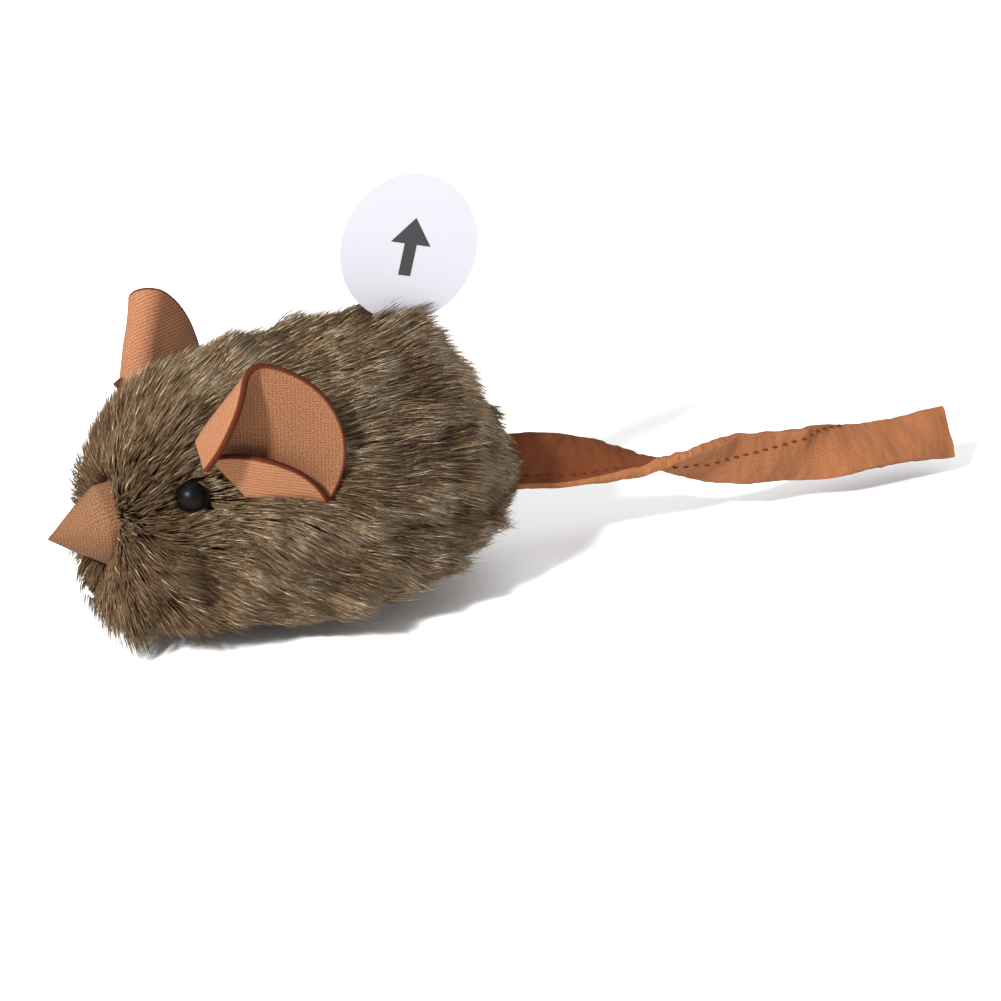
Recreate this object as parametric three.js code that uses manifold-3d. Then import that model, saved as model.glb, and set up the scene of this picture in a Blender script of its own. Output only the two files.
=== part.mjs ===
// Small plush cat-toy mouse with a motion-switched squeaker sewn inside.
//
// Frame, in millimetres: +Z up, origin on the resting face under the belly, nose towards -Y,
// tail towards +Y, and the mouse's own left side towards +X.
//
// Two fur panels and a belly panel make the skin. Suede cloth makes the ears, the nose and the tail.
// Fibre stuffing holds a plastic sound box with three button cells, a speaker and a shake switch.
// A film tab between two of the cells keeps the circuit open until somebody pulls it out.

import * as THREE from 'three';
import { mergeVertices } from 'three/addons/utils/BufferGeometryUtils.js';
import Module from 'manifold-3d';

const wasm = await Module();
wasm.setup();

// ---------------------------------------------------------------- driving dimensions

const GAP = 0.3; // clearance between neighbouring pieces

// Fur body, measured over the pile
const BODY_LENGTH = 70;
const BODY_WIDTH = 46.4;
const BODY_HEIGHT = 44;
const PILE_DEPTH = 3.8;
const CLOTH_THICKNESS = 1.0;
const BELLY_PANEL_HEIGHT = 5.2; // the belly panel's seam runs at this height
const SECTION_ROUNDNESS_TOP = 2.2; // superellipse exponents of the cross section
const SECTION_ROUNDNESS_BELLY = 2.8;
const SECTION_WAIST = 0.45; // the widest line, as a share of the section's height

// Ears: round cloth with two creases, sewn to the head along a slanting line
const EAR_DIAMETER = 29.4;
const EAR_CLOTH = 1.1;
const EAR_STATION = 0.34; // place along the body, 0 at the face and 1 at the rump
const EAR_ANGLE = 33; // degrees up from the widest line
const EAR_YAWS = { left: 20, right: 40 }; // degrees that the ear's hollow faces forwards of straight sideways
const EAR_LEAN = 12; // degrees that the ear's top leans outwards
const EAR_SEAM_DEPTH = 3.4; // cloth that goes on into the pile behind the base line
const EAR_FLAP_TRIM = 0.6; // the flaps stop this far short of the base line
const EAR_FRONT_CREASE = 6.0; // distance of the front crease from the middle of the round cloth
const EAR_LOWER_CREASE = 4.3;
const EAR_FRONT_BEND = 110; // degrees that the front flap turns over
const EAR_LOWER_BEND = 172;
const EAR_CREASE_RADIUS = 1.3;
const EAR_SWING = [-8, 20]; // degrees that the ear folds in towards the body and out
const EAR_SWING_STEPS = 4;
const EAR_RINGS = 11;

// Eyes: a bead on a stem, held by a washer inside the cloth
const EYE_DIAMETER = 5;
const EYE_STATION = 0.292;
const EYE_ANGLE = 25;
const EYE_SINK = 1.3; // depth of the bead's centre under the tips of the pile
const EYE_STEM_DIAMETER = 1.6;
const WASHER_DIAMETER = 6;
const WASHER_THICKNESS = 1;

// Nose: a folded corner of suede cloth
const NOSE_HEIGHT = 12.4;
const NOSE_WIDTH = 9.6;
const NOSE_LENGTH = 8.6;
const NOSE_TILT = 8; // degrees that it points down
const NOSE_CENTRE_HEIGHT = 18.2;

// Tail: a flat stitched band with a half turn in it
const TAIL_WIDTH = 9;
const TAIL_THICKNESS = 1.8;
const TAIL_SEAM_LENGTH = 10; // sewn into the rear seam
const TAIL_SPLIT = 0.21; // share of the free length where the tail bends sideways
const TAIL_LIFT_ROUNDING = 0.6; // the rounded end that lifts is this much larger than half the width
const TAIL_SWING_ROUNDING = 0.5; // the same for the rounded end that swings
const TAIL_POCKET_ROOM = 1.4; // room in the pile around the end that lifts
const TAIL_ROUTE = [
  [0, 0, 0],
  [-0.1, 10.5, -1.7],
  [-0.7, 22.9, -4.0],
  [-1.6, 38.2, -6.4],
  [-3.8, 62.5, -8.9],
  [-6.0, 84.9, -9.8],
]; // the tail's middle line, from its root at the rump

// Button cells, size LR44
const CELL_DIAMETER = 11.6;
const CELL_THICKNESS = 5.4;

// Pull tab: a film strip with a round head
const FILM_THICKNESS = 0.3;
const FILM_PLAY = 0.15; // on each side of the film, between the cells
const STRIP_WIDTH = 7;
const TAB_DIAMETER = 22.4;
const TAB_LEAN = 14; // degrees that the strip, and the sound box with it, lean to the rear
const TAB_STATION = 0.633; // where the strip leaves the pile on the back, 0 at the face and 1 at the rump

// Sound box
const BOX_WALL = 1.2;
const BOX_FLOOR_HEIGHT = 11.5; // height of the box's underside where the strip would meet it
const BOX_SPLIT = 11; // the lid starts here, above the box's underside
const CONTACT_THICKNESS = 0.4;
const SPEAKER_DIAMETER = 17.2;
const SPEAKER_HEIGHT = 4;
const MAGNET_DIAMETER = 9;
const MAGNET_HEIGHT = 1.4;
const BOARD_SIZE = [12, 13.8, 1];
const SCREW_DIAMETER = 1.4;
const SCREW_HEAD_DIAMETER = 3;
const POST_DIAMETER = 3.8;
const SWITCH_DIAMETER = 4;
const SWITCH_LENGTH = 7;
const WIRE_DIAMETER = 0.8;

// ---------------------------------------------------------------- materials

function finish(colour, roughness, metalness = 0) {
  return new THREE.MeshStandardMaterial({ color: colour, roughness, metalness });
}

const fur = () => finish(0x76674f, 0.95);
const suede = () => finish(0xb0714a, 0.9);
const beadBlack = () => finish(0x14120f, 0.25);
const fibre = () => finish(0xe9e6df, 0.95);
const film = () => finish(0xecedf6, 0.35);
const casePlastic = () => finish(0xd9d7d0, 0.5);
const blackPlastic = () => finish(0x1c1c1e, 0.5);
const steel = () => finish(0xb9bcc0, 0.35, 1);
const brass = () => finish(0xc2a052, 0.35, 1);
const boardGreen = () => finish(0x2f6b3c, 0.6);
const speakerPaper = () => finish(0x2b2a28, 0.8);
const thread = () => finish(0xe8e2d6, 0.9);

// ---------------------------------------------------------------- helpers

const radians = THREE.MathUtils.degToRad;

// A three.js geometry as a solid that can be joined and cut
function solid(geometry) {
  const bare = geometry.clone();
  bare.deleteAttribute('normal');
  bare.deleteAttribute('uv');
  const merged = mergeVertices(bare, 1e-4);
  const corners = merged.index.array;
  const places = merged.attributes.position.array;
  const kept = [];
  for (let i = 0; i < corners.length; i += 3) {
    const [a, b, c] = [corners[i], corners[i + 1], corners[i + 2]];
    if (a !== b && b !== c && a !== c) {
      kept.push(a, b, c);
    }
  }
  const mesh = new wasm.Mesh({
    numProp: 3,
    vertProperties: new Float32Array(places),
    triVerts: new Uint32Array(kept),
  });
  return new wasm.Manifold(mesh);
}

// A joined or cut solid as a three.js geometry
function geometryOf(body) {
  const mesh = body.getMesh();
  const geometry = new THREE.BufferGeometry();
  geometry.setAttribute('position', new THREE.BufferAttribute(mesh.vertProperties, 3));
  geometry.setIndex(new THREE.BufferAttribute(mesh.triVerts, 1));
  geometry.computeVertexNormals();
  return geometry;
}

// The same piece for the other side of the mouse
function mirrored(geometry) {
  const copy = geometry.clone().scale(-1, 1, 1);
  const corners = copy.index.array;
  for (let i = 0; i < corners.length; i += 3) {
    [corners[i], corners[i + 1]] = [corners[i + 1], corners[i]];
  }
  copy.computeVertexNormals();
  return copy;
}

function piece(name, geometry, material) {
  const mesh = new THREE.Mesh(geometry, material);
  mesh.name = name;
  return mesh;
}

function block(sizeX, sizeY, sizeZ, x, y, z) {
  return new THREE.BoxGeometry(sizeX, sizeY, sizeZ).translate(x, y, z);
}

// A cylinder along Z, standing on height z
function post(diameter, height, x, y, z, sides = 20) {
  const geometry = new THREE.CylinderGeometry(diameter / 2, diameter / 2, height, sides);
  return geometry.rotateX(Math.PI / 2).translate(x, y, z + height / 2);
}

// A turned part around Z from [radius, height] pairs that close on the axis or on themselves
function turned(profile, x, y, z, sides = 28) {
  const points = profile.map(([radius, height]) => new THREE.Vector2(radius, height));
  return new THREE.LatheGeometry(points, sides).rotateX(Math.PI / 2).translate(x, y, z);
}

// A round wire along a smooth curve through the given points
function wireAlong(points, diameter, steps, sides = 6) {
  const section = new THREE.Shape();
  section.absarc(0, 0, diameter / 2, 0, Math.PI * 2);
  const curve = new THREE.CatmullRomCurve3(points.map((p) => new THREE.Vector3(...p)));
  return new THREE.ExtrudeGeometry(section, { steps, curveSegments: sides / 2, extrudePath: curve });
}

// ---------------------------------------------------------------- body form

// Rings from the face to the rump: place along the length, half width, top and bottom,
// as shares of the length, the half width and the height.
const BODY_RINGS = [
  [-0.5, 0, 0.375, 0.375],
  [-0.49, 0.3, 0.534, 0.193],
  [-0.45, 0.552, 0.686, 0.059],
  [-0.371, 0.707, 0.823, 0.009],
  [-0.243, 0.879, 0.923, -0.009],
  [-0.086, 1, 0.961, -0.014],
  [0.071, 0.966, 0.995, -0.014],
  [0.214, 0.862, 0.977, 0.027],
  [0.336, 0.707, 0.823, 0.118],
  [0.436, 0.431, 0.625, 0.223],
  [0.486, 0.216, 0.5, 0.307],
  [0.5, 0, 0.398, 0.398],
];
const ringPlan = new THREE.SplineCurve(BODY_RINGS.map(([along, half]) => new THREE.Vector2(along, half)));
const ringSides = new THREE.SplineCurve(BODY_RINGS.map((ring) => new THREE.Vector2(ring[2], ring[3])));

// A point of the body's surface, or of the same form drawn in by an inset.
// station runs from 0 at the face to 1 at the rump, and turn is the angle around from +X.
function bodyPoint(station, turn, inset = 0) {
  const plan = ringPlan.getPoint(station);
  const sides = ringSides.getPoint(station);
  const waist = sides.y + (sides.x - sides.y) * SECTION_WAIST;
  const side = Math.cos(turn);
  const rise = Math.sin(turn);
  const upper = rise > 0;
  const reach = upper ? sides.x - waist : waist - sides.y;
  const roundness = upper ? SECTION_ROUNDNESS_TOP : SECTION_ROUNDNESS_BELLY;
  const width = Math.max(plan.y, 0) * Math.abs(side) ** (2 / SECTION_ROUNDNESS_TOP);
  const lift = reach * Math.abs(rise) ** (2 / roundness);
  const halfWidth = BODY_WIDTH / 2 - inset;
  const halfLength = BODY_LENGTH / 2 - inset;
  const halfHeight = BODY_HEIGHT / 2 - inset;
  const height = (waist + Math.sign(rise) * lift) * 2 - 1;
  return new THREE.Vector3(
    Math.sign(side) * width * halfWidth,
    plan.x * 2 * halfLength,
    BODY_HEIGHT / 2 + height * halfHeight,
  );
}

// The direction straight out of the body's surface
function bodyNormal(station, turn) {
  const step = 0.01;
  const along = bodyPoint(station + step, turn).sub(bodyPoint(station - step, turn));
  const around = bodyPoint(station, turn + step).sub(bodyPoint(station, turn - step));
  return along.cross(around).normalize();
}

function bodyForm(inset, rows, columns) {
  const geometry = new THREE.SphereGeometry(1, columns, rows);
  const places = geometry.attributes.position;
  const place = new THREE.Vector3();
  for (let i = 0; i < places.count; i += 1) {
    place.fromBufferAttribute(places, i);
    const station = 1 - Math.acos(THREE.MathUtils.clamp(place.y, -1, 1)) / Math.PI;
    const point = bodyPoint(station, Math.atan2(place.z, place.x), inset);
    places.setXYZ(i, point.x, point.y, point.z);
  }
  return geometry;
}

const SKIN_DEPTH = PILE_DEPTH + CLOTH_THICKNESS;
const ROWS = 26;
const COLUMNS = 30;
const INNER_ROWS = 16;
const INNER_COLUMNS = 18;
const BIG = 2 * (BODY_LENGTH + BODY_WIDTH + BODY_HEIGHT);

// ---------------------------------------------------------------- ears

const earBase = bodyPoint(EAR_STATION, radians(EAR_ANGLE));

// The ear's own plane: X to the rear, Y up, Z out of the hollow side; the base line meets 0, 0
function earFrame(yaw) {
  const rearward = new THREE.Vector3(Math.sin(radians(yaw)), Math.cos(radians(yaw)), 0);
  const upward = new THREE.Vector3(0, 0, 1).applyAxisAngle(rearward, radians(EAR_LEAN));
  const hollow = rearward.clone().cross(upward);
  return new THREE.Matrix4().makeBasis(rearward, upward, hollow).setPosition(earBase);
}

const EAR_MIDDLE = new THREE.Vector2(0.098 * EAR_DIAMETER, 0.06 * EAR_DIAMETER);
const EAR_BASE_SLANT = new THREE.Vector3(-0.813, -0.582, 0); // straight back from the base line
const EAR_TRIM = new THREE.Vector3(-0.813, -0.582, 0.6); // the same, slanting in under the flaps
const EAR_CREASES = [
  { away: new THREE.Vector2(-0.81, 0.586), reach: EAR_FRONT_CREASE, bend: radians(EAR_FRONT_BEND) },
  { away: new THREE.Vector2(-0.249, -0.969), reach: EAR_LOWER_CREASE, bend: radians(EAR_LOWER_BEND) },
];

// Turns the cloth over along one crease
function creased(point, crease) {
  const flat = new THREE.Vector2(point.x, point.y).sub(EAR_MIDDLE);
  const past = flat.dot(crease.away) - crease.reach;
  if (past <= 0) {
    return point;
  }
  const arc = Math.min(past / EAR_CREASE_RADIUS, crease.bend);
  const straight = past - arc * EAR_CREASE_RADIUS;
  const depth = EAR_CREASE_RADIUS - point.z;
  const across = depth * Math.sin(arc) + straight * Math.cos(arc);
  const lift = EAR_CREASE_RADIUS - depth * Math.cos(arc) + straight * Math.sin(arc);
  return new THREE.Vector3(
    point.x + crease.away.x * (across - past),
    point.y + crease.away.y * (across - past),
    lift,
  );
}

// Everything past a plane across the base line's way back, from a given distance on
function pastTrim(way, distance, lowest) {
  const behind = block(BIG, BIG, BIG, BIG / 2 + distance, 0, lowest + BIG / 2);
  const straight = way.clone().normalize();
  return solid(behind.applyQuaternion(new THREE.Quaternion().setFromUnitVectors(new THREE.Vector3(1, 0, 0), straight)));
}

// The folded ear as a solid, thicker all round by the given clearance
function earSolid(clearance) {
  const radius = EAR_DIAMETER / 2 + clearance;
  const half = EAR_CLOTH / 2 + clearance;
  const profile = [];
  for (let i = 0; i <= EAR_RINGS; i += 1) {
    profile.push([(radius * i) / EAR_RINGS, -half]);
  }
  for (let i = EAR_RINGS; i >= 0; i -= 1) {
    profile.push([(radius * i) / EAR_RINGS, half]);
  }
  const cloth = turned(profile, EAR_MIDDLE.x, EAR_MIDDLE.y, 0, 36);
  const places = cloth.attributes.position;
  const place = new THREE.Vector3();
  for (let i = 0; i < places.count; i += 1) {
    place.fromBufferAttribute(places, i);
    const folded = EAR_CREASES.reduce(creased, place.clone());
    places.setXYZ(i, folded.x, folded.y, folded.z);
  }
  return solid(cloth)
    .subtract(pastTrim(EAR_TRIM, EAR_SEAM_DEPTH / EAR_TRIM.length() + clearance, -BIG / 2))
    .subtract(pastTrim(EAR_BASE_SLANT, clearance - EAR_FLAP_TRIM, EAR_CREASE_RADIUS - clearance));
}

function moved(body, matrix) {
  return solid(geometryOf(body).applyMatrix4(matrix));
}

const clothForm = solid(bodyForm(PILE_DEPTH, ROWS, COLUMNS));
const clothFormWithGap = solid(bodyForm(PILE_DEPTH - GAP, ROWS, COLUMNS));
const pileForm = solid(bodyForm(0, ROWS, COLUMNS));
const pileFormAndMore = solid(bodyForm(-PILE_DEPTH / 2, ROWS, COLUMNS));

// One ear on the +X side and the room that the pile leaves it as it folds in and out.
// The ear is trimmed so that it clears the backing cloth at every angle.
function earAndSlot(yaw) {
  const frame = earFrame(yaw);
  const baseLineWay = new THREE.Vector3(-EAR_BASE_SLANT.y, EAR_BASE_SLANT.x, 0).transformDirection(frame);
  const toBase = new THREE.Matrix4().makeTranslation(earBase.x, earBase.y, earBase.z);
  const fromBase = toBase.clone().invert();
  const loose = moved(earSolid(GAP), frame);
  let ear = moved(earSolid(0), frame);
  const places = [];
  for (let i = 0; i <= EAR_SWING_STEPS; i += 1) {
    const angle = radians(THREE.MathUtils.lerp(EAR_SWING[0], EAR_SWING[1], i / EAR_SWING_STEPS));
    const turn = new THREE.Matrix4().makeRotationAxis(baseLineWay, angle);
    const about = toBase.clone().multiply(turn).multiply(fromBase);
    ear = ear.subtract(moved(clothFormWithGap, about.clone().invert()));
    places.push(moved(loose, about));
  }
  const slot = wasm.Manifold.union(places).intersect(pileFormAndMore).hull().subtract(clothForm);
  return { ear, slot };
}

const earLeft = earAndSlot(EAR_YAWS.left);
const earRight = earAndSlot(EAR_YAWS.right);

// ---------------------------------------------------------------- eyes

const eyeOutward = bodyNormal(EYE_STATION, radians(EYE_ANGLE));
const eyeCentre = bodyPoint(EYE_STATION, radians(EYE_ANGLE)).addScaledVector(eyeOutward, -EYE_SINK);
const eyeFrame = new THREE.Matrix4().compose(
  eyeCentre,
  new THREE.Quaternion().setFromUnitVectors(new THREE.Vector3(0, 0, 1), eyeOutward),
  new THREE.Vector3(1, 1, 1),
);
const WASHER_DEPTH = SKIN_DEPTH + WASHER_THICKNESS + GAP; // below the bead's centre
const STEM_LENGTH = WASHER_DEPTH + WASHER_THICKNESS;

function beadSolid(clearance) {
  const bead = new THREE.SphereGeometry(EYE_DIAMETER / 2 + clearance, 14, 10);
  const stem = post(EYE_STEM_DIAMETER + 2 * clearance, STEM_LENGTH + clearance, 0, 0, 0, 10);
  stem.translate(0, 0, -STEM_LENGTH - clearance);
  return solid(geometryOf(solid(bead).add(solid(stem))).applyMatrix4(eyeFrame));
}

function washerSolid(clearance) {
  const height = WASHER_THICKNESS + 2 * clearance;
  const disc = solid(post(WASHER_DIAMETER + 2 * clearance, height, 0, 0, -WASHER_DEPTH - clearance));
  const bore = solid(post(EYE_STEM_DIAMETER + 2 * GAP, 3 * height, 0, 0, -WASHER_DEPTH - height));
  const washer = clearance > 0 ? disc : disc.subtract(bore);
  return solid(geometryOf(washer).applyMatrix4(eyeFrame));
}

const eye = beadSolid(0);
const washer = washerSolid(0);
const eyeSocket = beadSolid(GAP).add(washerSolid(GAP));

// ---------------------------------------------------------------- nose

// A blunt cone of folded cloth whose rim lies in the pile
function noseForm(clearance) {
  const rim = 1 + clearance / (NOSE_WIDTH / 2);
  const profile = [
    [0, -3],
    [0.86, -3],
    [1, -1],
    [0.98, 0],
    [0.62, NOSE_LENGTH * 0.5],
    [0.3, NOSE_LENGTH * 0.86],
    [0, NOSE_LENGTH],
  ];
  const cone = turned(profile.map(([share, height]) => [share * rim, height + clearance]), 0, 0, 0, 24);
  cone.scale(NOSE_WIDTH / 2, NOSE_HEIGHT / 2, 1);
  cone.rotateX(Math.PI / 2 + radians(NOSE_TILT));
  return cone.translate(0, -BODY_LENGTH / 2 + 3, NOSE_CENTRE_HEIGHT);
}

const nose = solid(noseForm(0)).subtract(clothFormWithGap);
const noseSlot = solid(noseForm(GAP)).subtract(clothForm);

// ---------------------------------------------------------------- tail

const tailRoot = bodyPoint(1, 0);
const tailPoints = TAIL_ROUTE.map(([x, y, z]) => new THREE.Vector3(x, y, z).add(tailRoot));
tailPoints.unshift(tailRoot.clone().add(new THREE.Vector3(0, -TAIL_SEAM_LENGTH, 1.0)));
const tailLine = new THREE.CatmullRomCurve3(tailPoints);
const TAIL_FREE_FROM = TAIL_SEAM_LENGTH / tailLine.getLength();

// Degrees that the band has turned at a share of its free length
function tailTurn(share) {
  const halfTurn = 180 * THREE.MathUtils.smoothstep(share, 0, 0.56);
  const roll = 52 * THREE.MathUtils.smoothstep(share, 0.62, 0.8);
  return halfTurn + roll - 18 * THREE.MathUtils.smoothstep(share, 0.82, 1);
}

// A stretch of the band between two shares of the free length
function tailBand(from, to, steps, clearance = 0) {
  const thick = TAIL_THICKNESS + 2 * clearance;
  const geometry = new THREE.BoxGeometry(thick, 1, TAIL_WIDTH + 2 * clearance, 1, steps, 2);
  const places = geometry.attributes.position;
  const up = new THREE.Vector3(0, 0, 1);
  for (let i = 0; i < places.count; i += 1) {
    const share = from + (places.getY(i) + 0.5) * (to - from);
    const along = THREE.MathUtils.clamp(TAIL_FREE_FROM + share * (1 - TAIL_FREE_FROM), 0, 1);
    const middle = tailLine.getPointAt(along);
    const ahead = tailLine.getTangentAt(along);
    const side = ahead.clone().cross(up).normalize();
    const rise = side.clone().cross(ahead).normalize();
    const turn = radians(tailTurn(share));
    const flat = side.clone().multiplyScalar(Math.cos(turn)).addScaledVector(rise, Math.sin(turn));
    const edge = rise.clone().multiplyScalar(Math.cos(turn)).addScaledVector(side, -Math.sin(turn));
    middle.addScaledVector(flat, places.getX(i)).addScaledVector(edge, places.getZ(i));
    places.setXYZ(i, middle.x, middle.y, middle.z);
  }
  return geometry;
}

const tailLength = tailLine.getLength() * (1 - TAIL_FREE_FROM);
const seamShare = -TAIL_SEAM_LENGTH / tailLength;
const gapShare = GAP / tailLength;
const tailSplit = tailLine.getPointAt(TAIL_FREE_FROM + TAIL_SPLIT * (1 - TAIL_FREE_FROM));
const TAIL_LIFT_RADIUS = TAIL_WIDTH / 2 + TAIL_LIFT_ROUNDING;
const TAIL_SWING_RADIUS = TAIL_WIDTH / 2 + TAIL_SWING_ROUNDING;
const TAIL_POCKET_RADIUS = TAIL_LIFT_RADIUS + TAIL_POCKET_ROOM;

// A disc about the sideways axis at the tail's root
function liftDisc(radius, width) {
  const disc = new THREE.CylinderGeometry(radius, radius, width, 48);
  return solid(disc.rotateZ(Math.PI / 2).translate(tailRoot.x, tailRoot.y, tailRoot.z));
}

// A drum about the upright axis where the tail bends sideways
function swingDrum(radius) {
  const height = 3 * TAIL_WIDTH;
  return solid(post(2 * radius, height, tailSplit.x, tailSplit.y, tailSplit.z - height / 2, 48));
}

function rearOf(y) {
  return solid(block(BIG, BIG, BIG, 0, y + BIG / 2, 0));
}

// The three lengths of the tail meet at rounded ends, so that each can turn against the next
const liftShare = (1.3 * TAIL_LIFT_RADIUS) / tailLength;
const swingShare = (1.6 * TAIL_SWING_RADIUS) / tailLength;
const tailSeam = solid(tailBand(seamShare + gapShare, 0, 8)).subtract(liftDisc(TAIL_LIFT_RADIUS + GAP, TAIL_WIDTH));
const tailBase = solid(tailBand(-liftShare, TAIL_SPLIT, 16))
  .intersect(liftDisc(TAIL_LIFT_RADIUS, TAIL_WIDTH).add(rearOf(tailRoot.y)))
  .subtract(swingDrum(TAIL_SWING_RADIUS + GAP));
const tailEnd = solid(tailBand(TAIL_SPLIT - swingShare, 1, 48))
  .intersect(swingDrum(TAIL_SWING_RADIUS).add(rearOf(tailSplit.y)));

// ---------------------------------------------------------------- sound box frame

// The box's own frame: X as the mouse's, Y to the rear, Z along the pull strip, origin on the
// box's underside, straight below the strip.
const tabExit = bodyPoint(TAB_STATION, Math.PI / 2);
const EXIT_HEIGHT = (tabExit.z - BOX_FLOOR_HEIGHT) / Math.cos(radians(TAB_LEAN));
const boxFrame = new THREE.Matrix4().makeRotationX(-radians(TAB_LEAN));
boxFrame.setPosition(
  tabExit.x,
  tabExit.y - EXIT_HEIGHT * Math.sin(radians(TAB_LEAN)),
  BOX_FLOOR_HEIGHT,
);

const CELL_RADIUS = CELL_DIAMETER / 2;
const CELL_HEIGHT = BOX_WALL + GAP + CELL_RADIUS; // of the cells' axis
const BOX_HEIGHT = CELL_HEIGHT + CELL_RADIUS + GAP + 1.3;
const LID_INSIDE = BOX_HEIGHT - 1.3;
const FILM_HALF = FILM_THICKNESS / 2 + FILM_PLAY;
const CELL_PITCH = CELL_THICKNESS + FILM_PLAY;
const STACK_END = FILM_HALF + 2 * CELL_PITCH; // far face of the two cells on one side of the film
const BAY_HALF_WIDTH = STACK_END + CONTACT_THICKNESS + GAP;
const BAY_HALF_LENGTH = CELL_RADIUS + 2 * GAP;
const BAY_CORNER = 3;
const SPEAKER_RADIUS = SPEAKER_DIAMETER / 2;
const NOSE_RADIUS = SPEAKER_RADIUS + 0.8; // inside of the box's round end
const SPEAKER_Y = -(BAY_HALF_LENGTH + SPEAKER_RADIUS + 1);

// The outline inside the box, drawn out by a wall: a bay for the cells and a round end for the speaker
function boxOutline(wall) {
  const bayX = BAY_HALF_WIDTH + wall;
  const bayY = BAY_HALF_LENGTH + wall;
  const corner = BAY_CORNER + wall;
  const endX = NOSE_RADIUS + wall;
  const outline = new THREE.Shape();
  outline.moveTo(-endX, SPEAKER_Y);
  outline.absarc(0, SPEAKER_Y, endX, Math.PI, 2 * Math.PI, false);
  outline.lineTo(endX, -bayY);
  outline.lineTo(bayX, -bayY);
  outline.lineTo(bayX, bayY - corner);
  outline.absarc(bayX - corner, bayY - corner, corner, 0, Math.PI / 2, false);
  outline.lineTo(corner - bayX, bayY);
  outline.absarc(corner - bayX, bayY - corner, corner, Math.PI / 2, Math.PI, false);
  outline.lineTo(-bayX, -bayY);
  outline.lineTo(-endX, -bayY);
  outline.closePath();
  return outline;
}

function boxSlab(wall, from, to) {
  const settings = { depth: to - from, bevelEnabled: false, curveSegments: 10 };
  return solid(new THREE.ExtrudeGeometry(boxOutline(wall), settings).translate(0, 0, from));
}

// ---------------------------------------------------------------- sound box base and lid

const POST_X = NOSE_RADIUS - POST_DIAMETER / 2 + 0.9;
const POST_Y = -(BAY_HALF_LENGTH + POST_DIAMETER / 2 + 0.4);
const SCREW_LENGTH = 8;
const SCREW_HEAD_HEIGHT = 1;
const SCREW_HEAD_BASE = BOX_HEIGHT - SCREW_HEAD_HEIGHT - GAP;
const RAIL_HEIGHT = 0.5;
const BOARD_BASE = BOX_WALL + RAIL_HEIGHT + GAP;
const BOARD_TOP = BOARD_BASE + BOARD_SIZE[2];
const BOARD_Y = SPEAKER_Y + 0.8;

function bothScrews(makeGeometry) {
  return solid(makeGeometry(-POST_X)).add(solid(makeGeometry(POST_X)));
}

function boxBase() {
  const pilot = SCREW_DIAMETER + 2 * GAP;
  let base = boxSlab(BOX_WALL, 0, BOX_SPLIT - GAP);
  base = base.subtract(boxSlab(0, BOX_WALL, BOX_SPLIT + 1));
  base = base.add(bothScrews((x) => post(POST_DIAMETER, BOX_SPLIT - GAP - 1, x, POST_Y, 1)));
  base = base.subtract(bothScrews((x) => post(pilot, BOX_SPLIT, x, POST_Y, 3, 12)));
  for (const side of [-1, 1]) {
    const railX = (side * BOARD_SIZE[0]) / 4;
    const rail = block(1, BOARD_SIZE[1] * 0.7, RAIL_HEIGHT + 0.4, railX, BOARD_Y, BOX_WALL + RAIL_HEIGHT / 2 - 0.2);
    base = base.add(solid(rail));
  }
  return geometryOf(base);
}

function boxLid() {
  const slot = block(2 * (FILM_HALF + GAP), STRIP_WIDTH + 2 * GAP, BOX_HEIGHT, 0, 0, BOX_HEIGHT);
  const bore = SCREW_DIAMETER + 2 * GAP;
  const sink = SCREW_HEAD_DIAMETER + 2 * GAP;
  let lid = boxSlab(BOX_WALL, BOX_SPLIT, BOX_HEIGHT);
  lid = lid.subtract(boxSlab(0, BOX_SPLIT - 1, LID_INSIDE));
  lid = lid.add(bothScrews((x) => post(POST_DIAMETER + 1.2, BOX_HEIGHT - BOX_SPLIT, x, POST_Y, BOX_SPLIT)));
  lid = lid.intersect(boxSlab(BOX_WALL, BOX_SPLIT, BOX_HEIGHT));
  lid = lid.subtract(bothScrews((x) => post(bore, BOX_HEIGHT, x, POST_Y, BOX_SPLIT - 1, 12)));
  lid = lid.subtract(bothScrews((x) => post(sink, BOX_HEIGHT, x, POST_Y, SCREW_HEAD_BASE - GAP, 16)));
  lid = lid.subtract(solid(slot));
  const holes = 6;
  const holeCircle = SPEAKER_RADIUS * 0.52;
  for (let i = 0; i <= holes; i += 1) {
    const reach = i === holes ? 0 : holeCircle;
    const angle = (i * 2 * Math.PI) / holes;
    const hole = post(2, BOX_HEIGHT, reach * Math.cos(angle), SPEAKER_Y + reach * Math.sin(angle), BOX_SPLIT, 10);
    lid = lid.subtract(solid(hole));
  }
  return geometryOf(lid);
}

function boxScrew(x) {
  const radius = SCREW_DIAMETER / 2;
  const headRadius = SCREW_HEAD_DIAMETER / 2;
  const profile = [
    [0, -SCREW_LENGTH],
    [radius * 0.5, -SCREW_LENGTH],
    [radius, -SCREW_LENGTH + 1],
    [radius, 0],
    [headRadius, 0],
    [headRadius, SCREW_HEAD_HEIGHT * 0.5],
    [headRadius * 0.7, SCREW_HEAD_HEIGHT],
    [0, SCREW_HEAD_HEIGHT],
  ];
  const screw = solid(turned(profile, x, POST_Y, SCREW_HEAD_BASE, 12));
  const crossHeight = SCREW_HEAD_BASE + SCREW_HEAD_HEIGHT;
  const long = solid(block(SCREW_HEAD_DIAMETER * 0.6, 0.4, 1, x, POST_Y, crossHeight));
  const short = solid(block(0.4, SCREW_HEAD_DIAMETER * 0.6, 1, x, POST_Y, crossHeight));
  return geometryOf(screw.subtract(long).subtract(short));
}

// ---------------------------------------------------------------- cells and contacts

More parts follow.
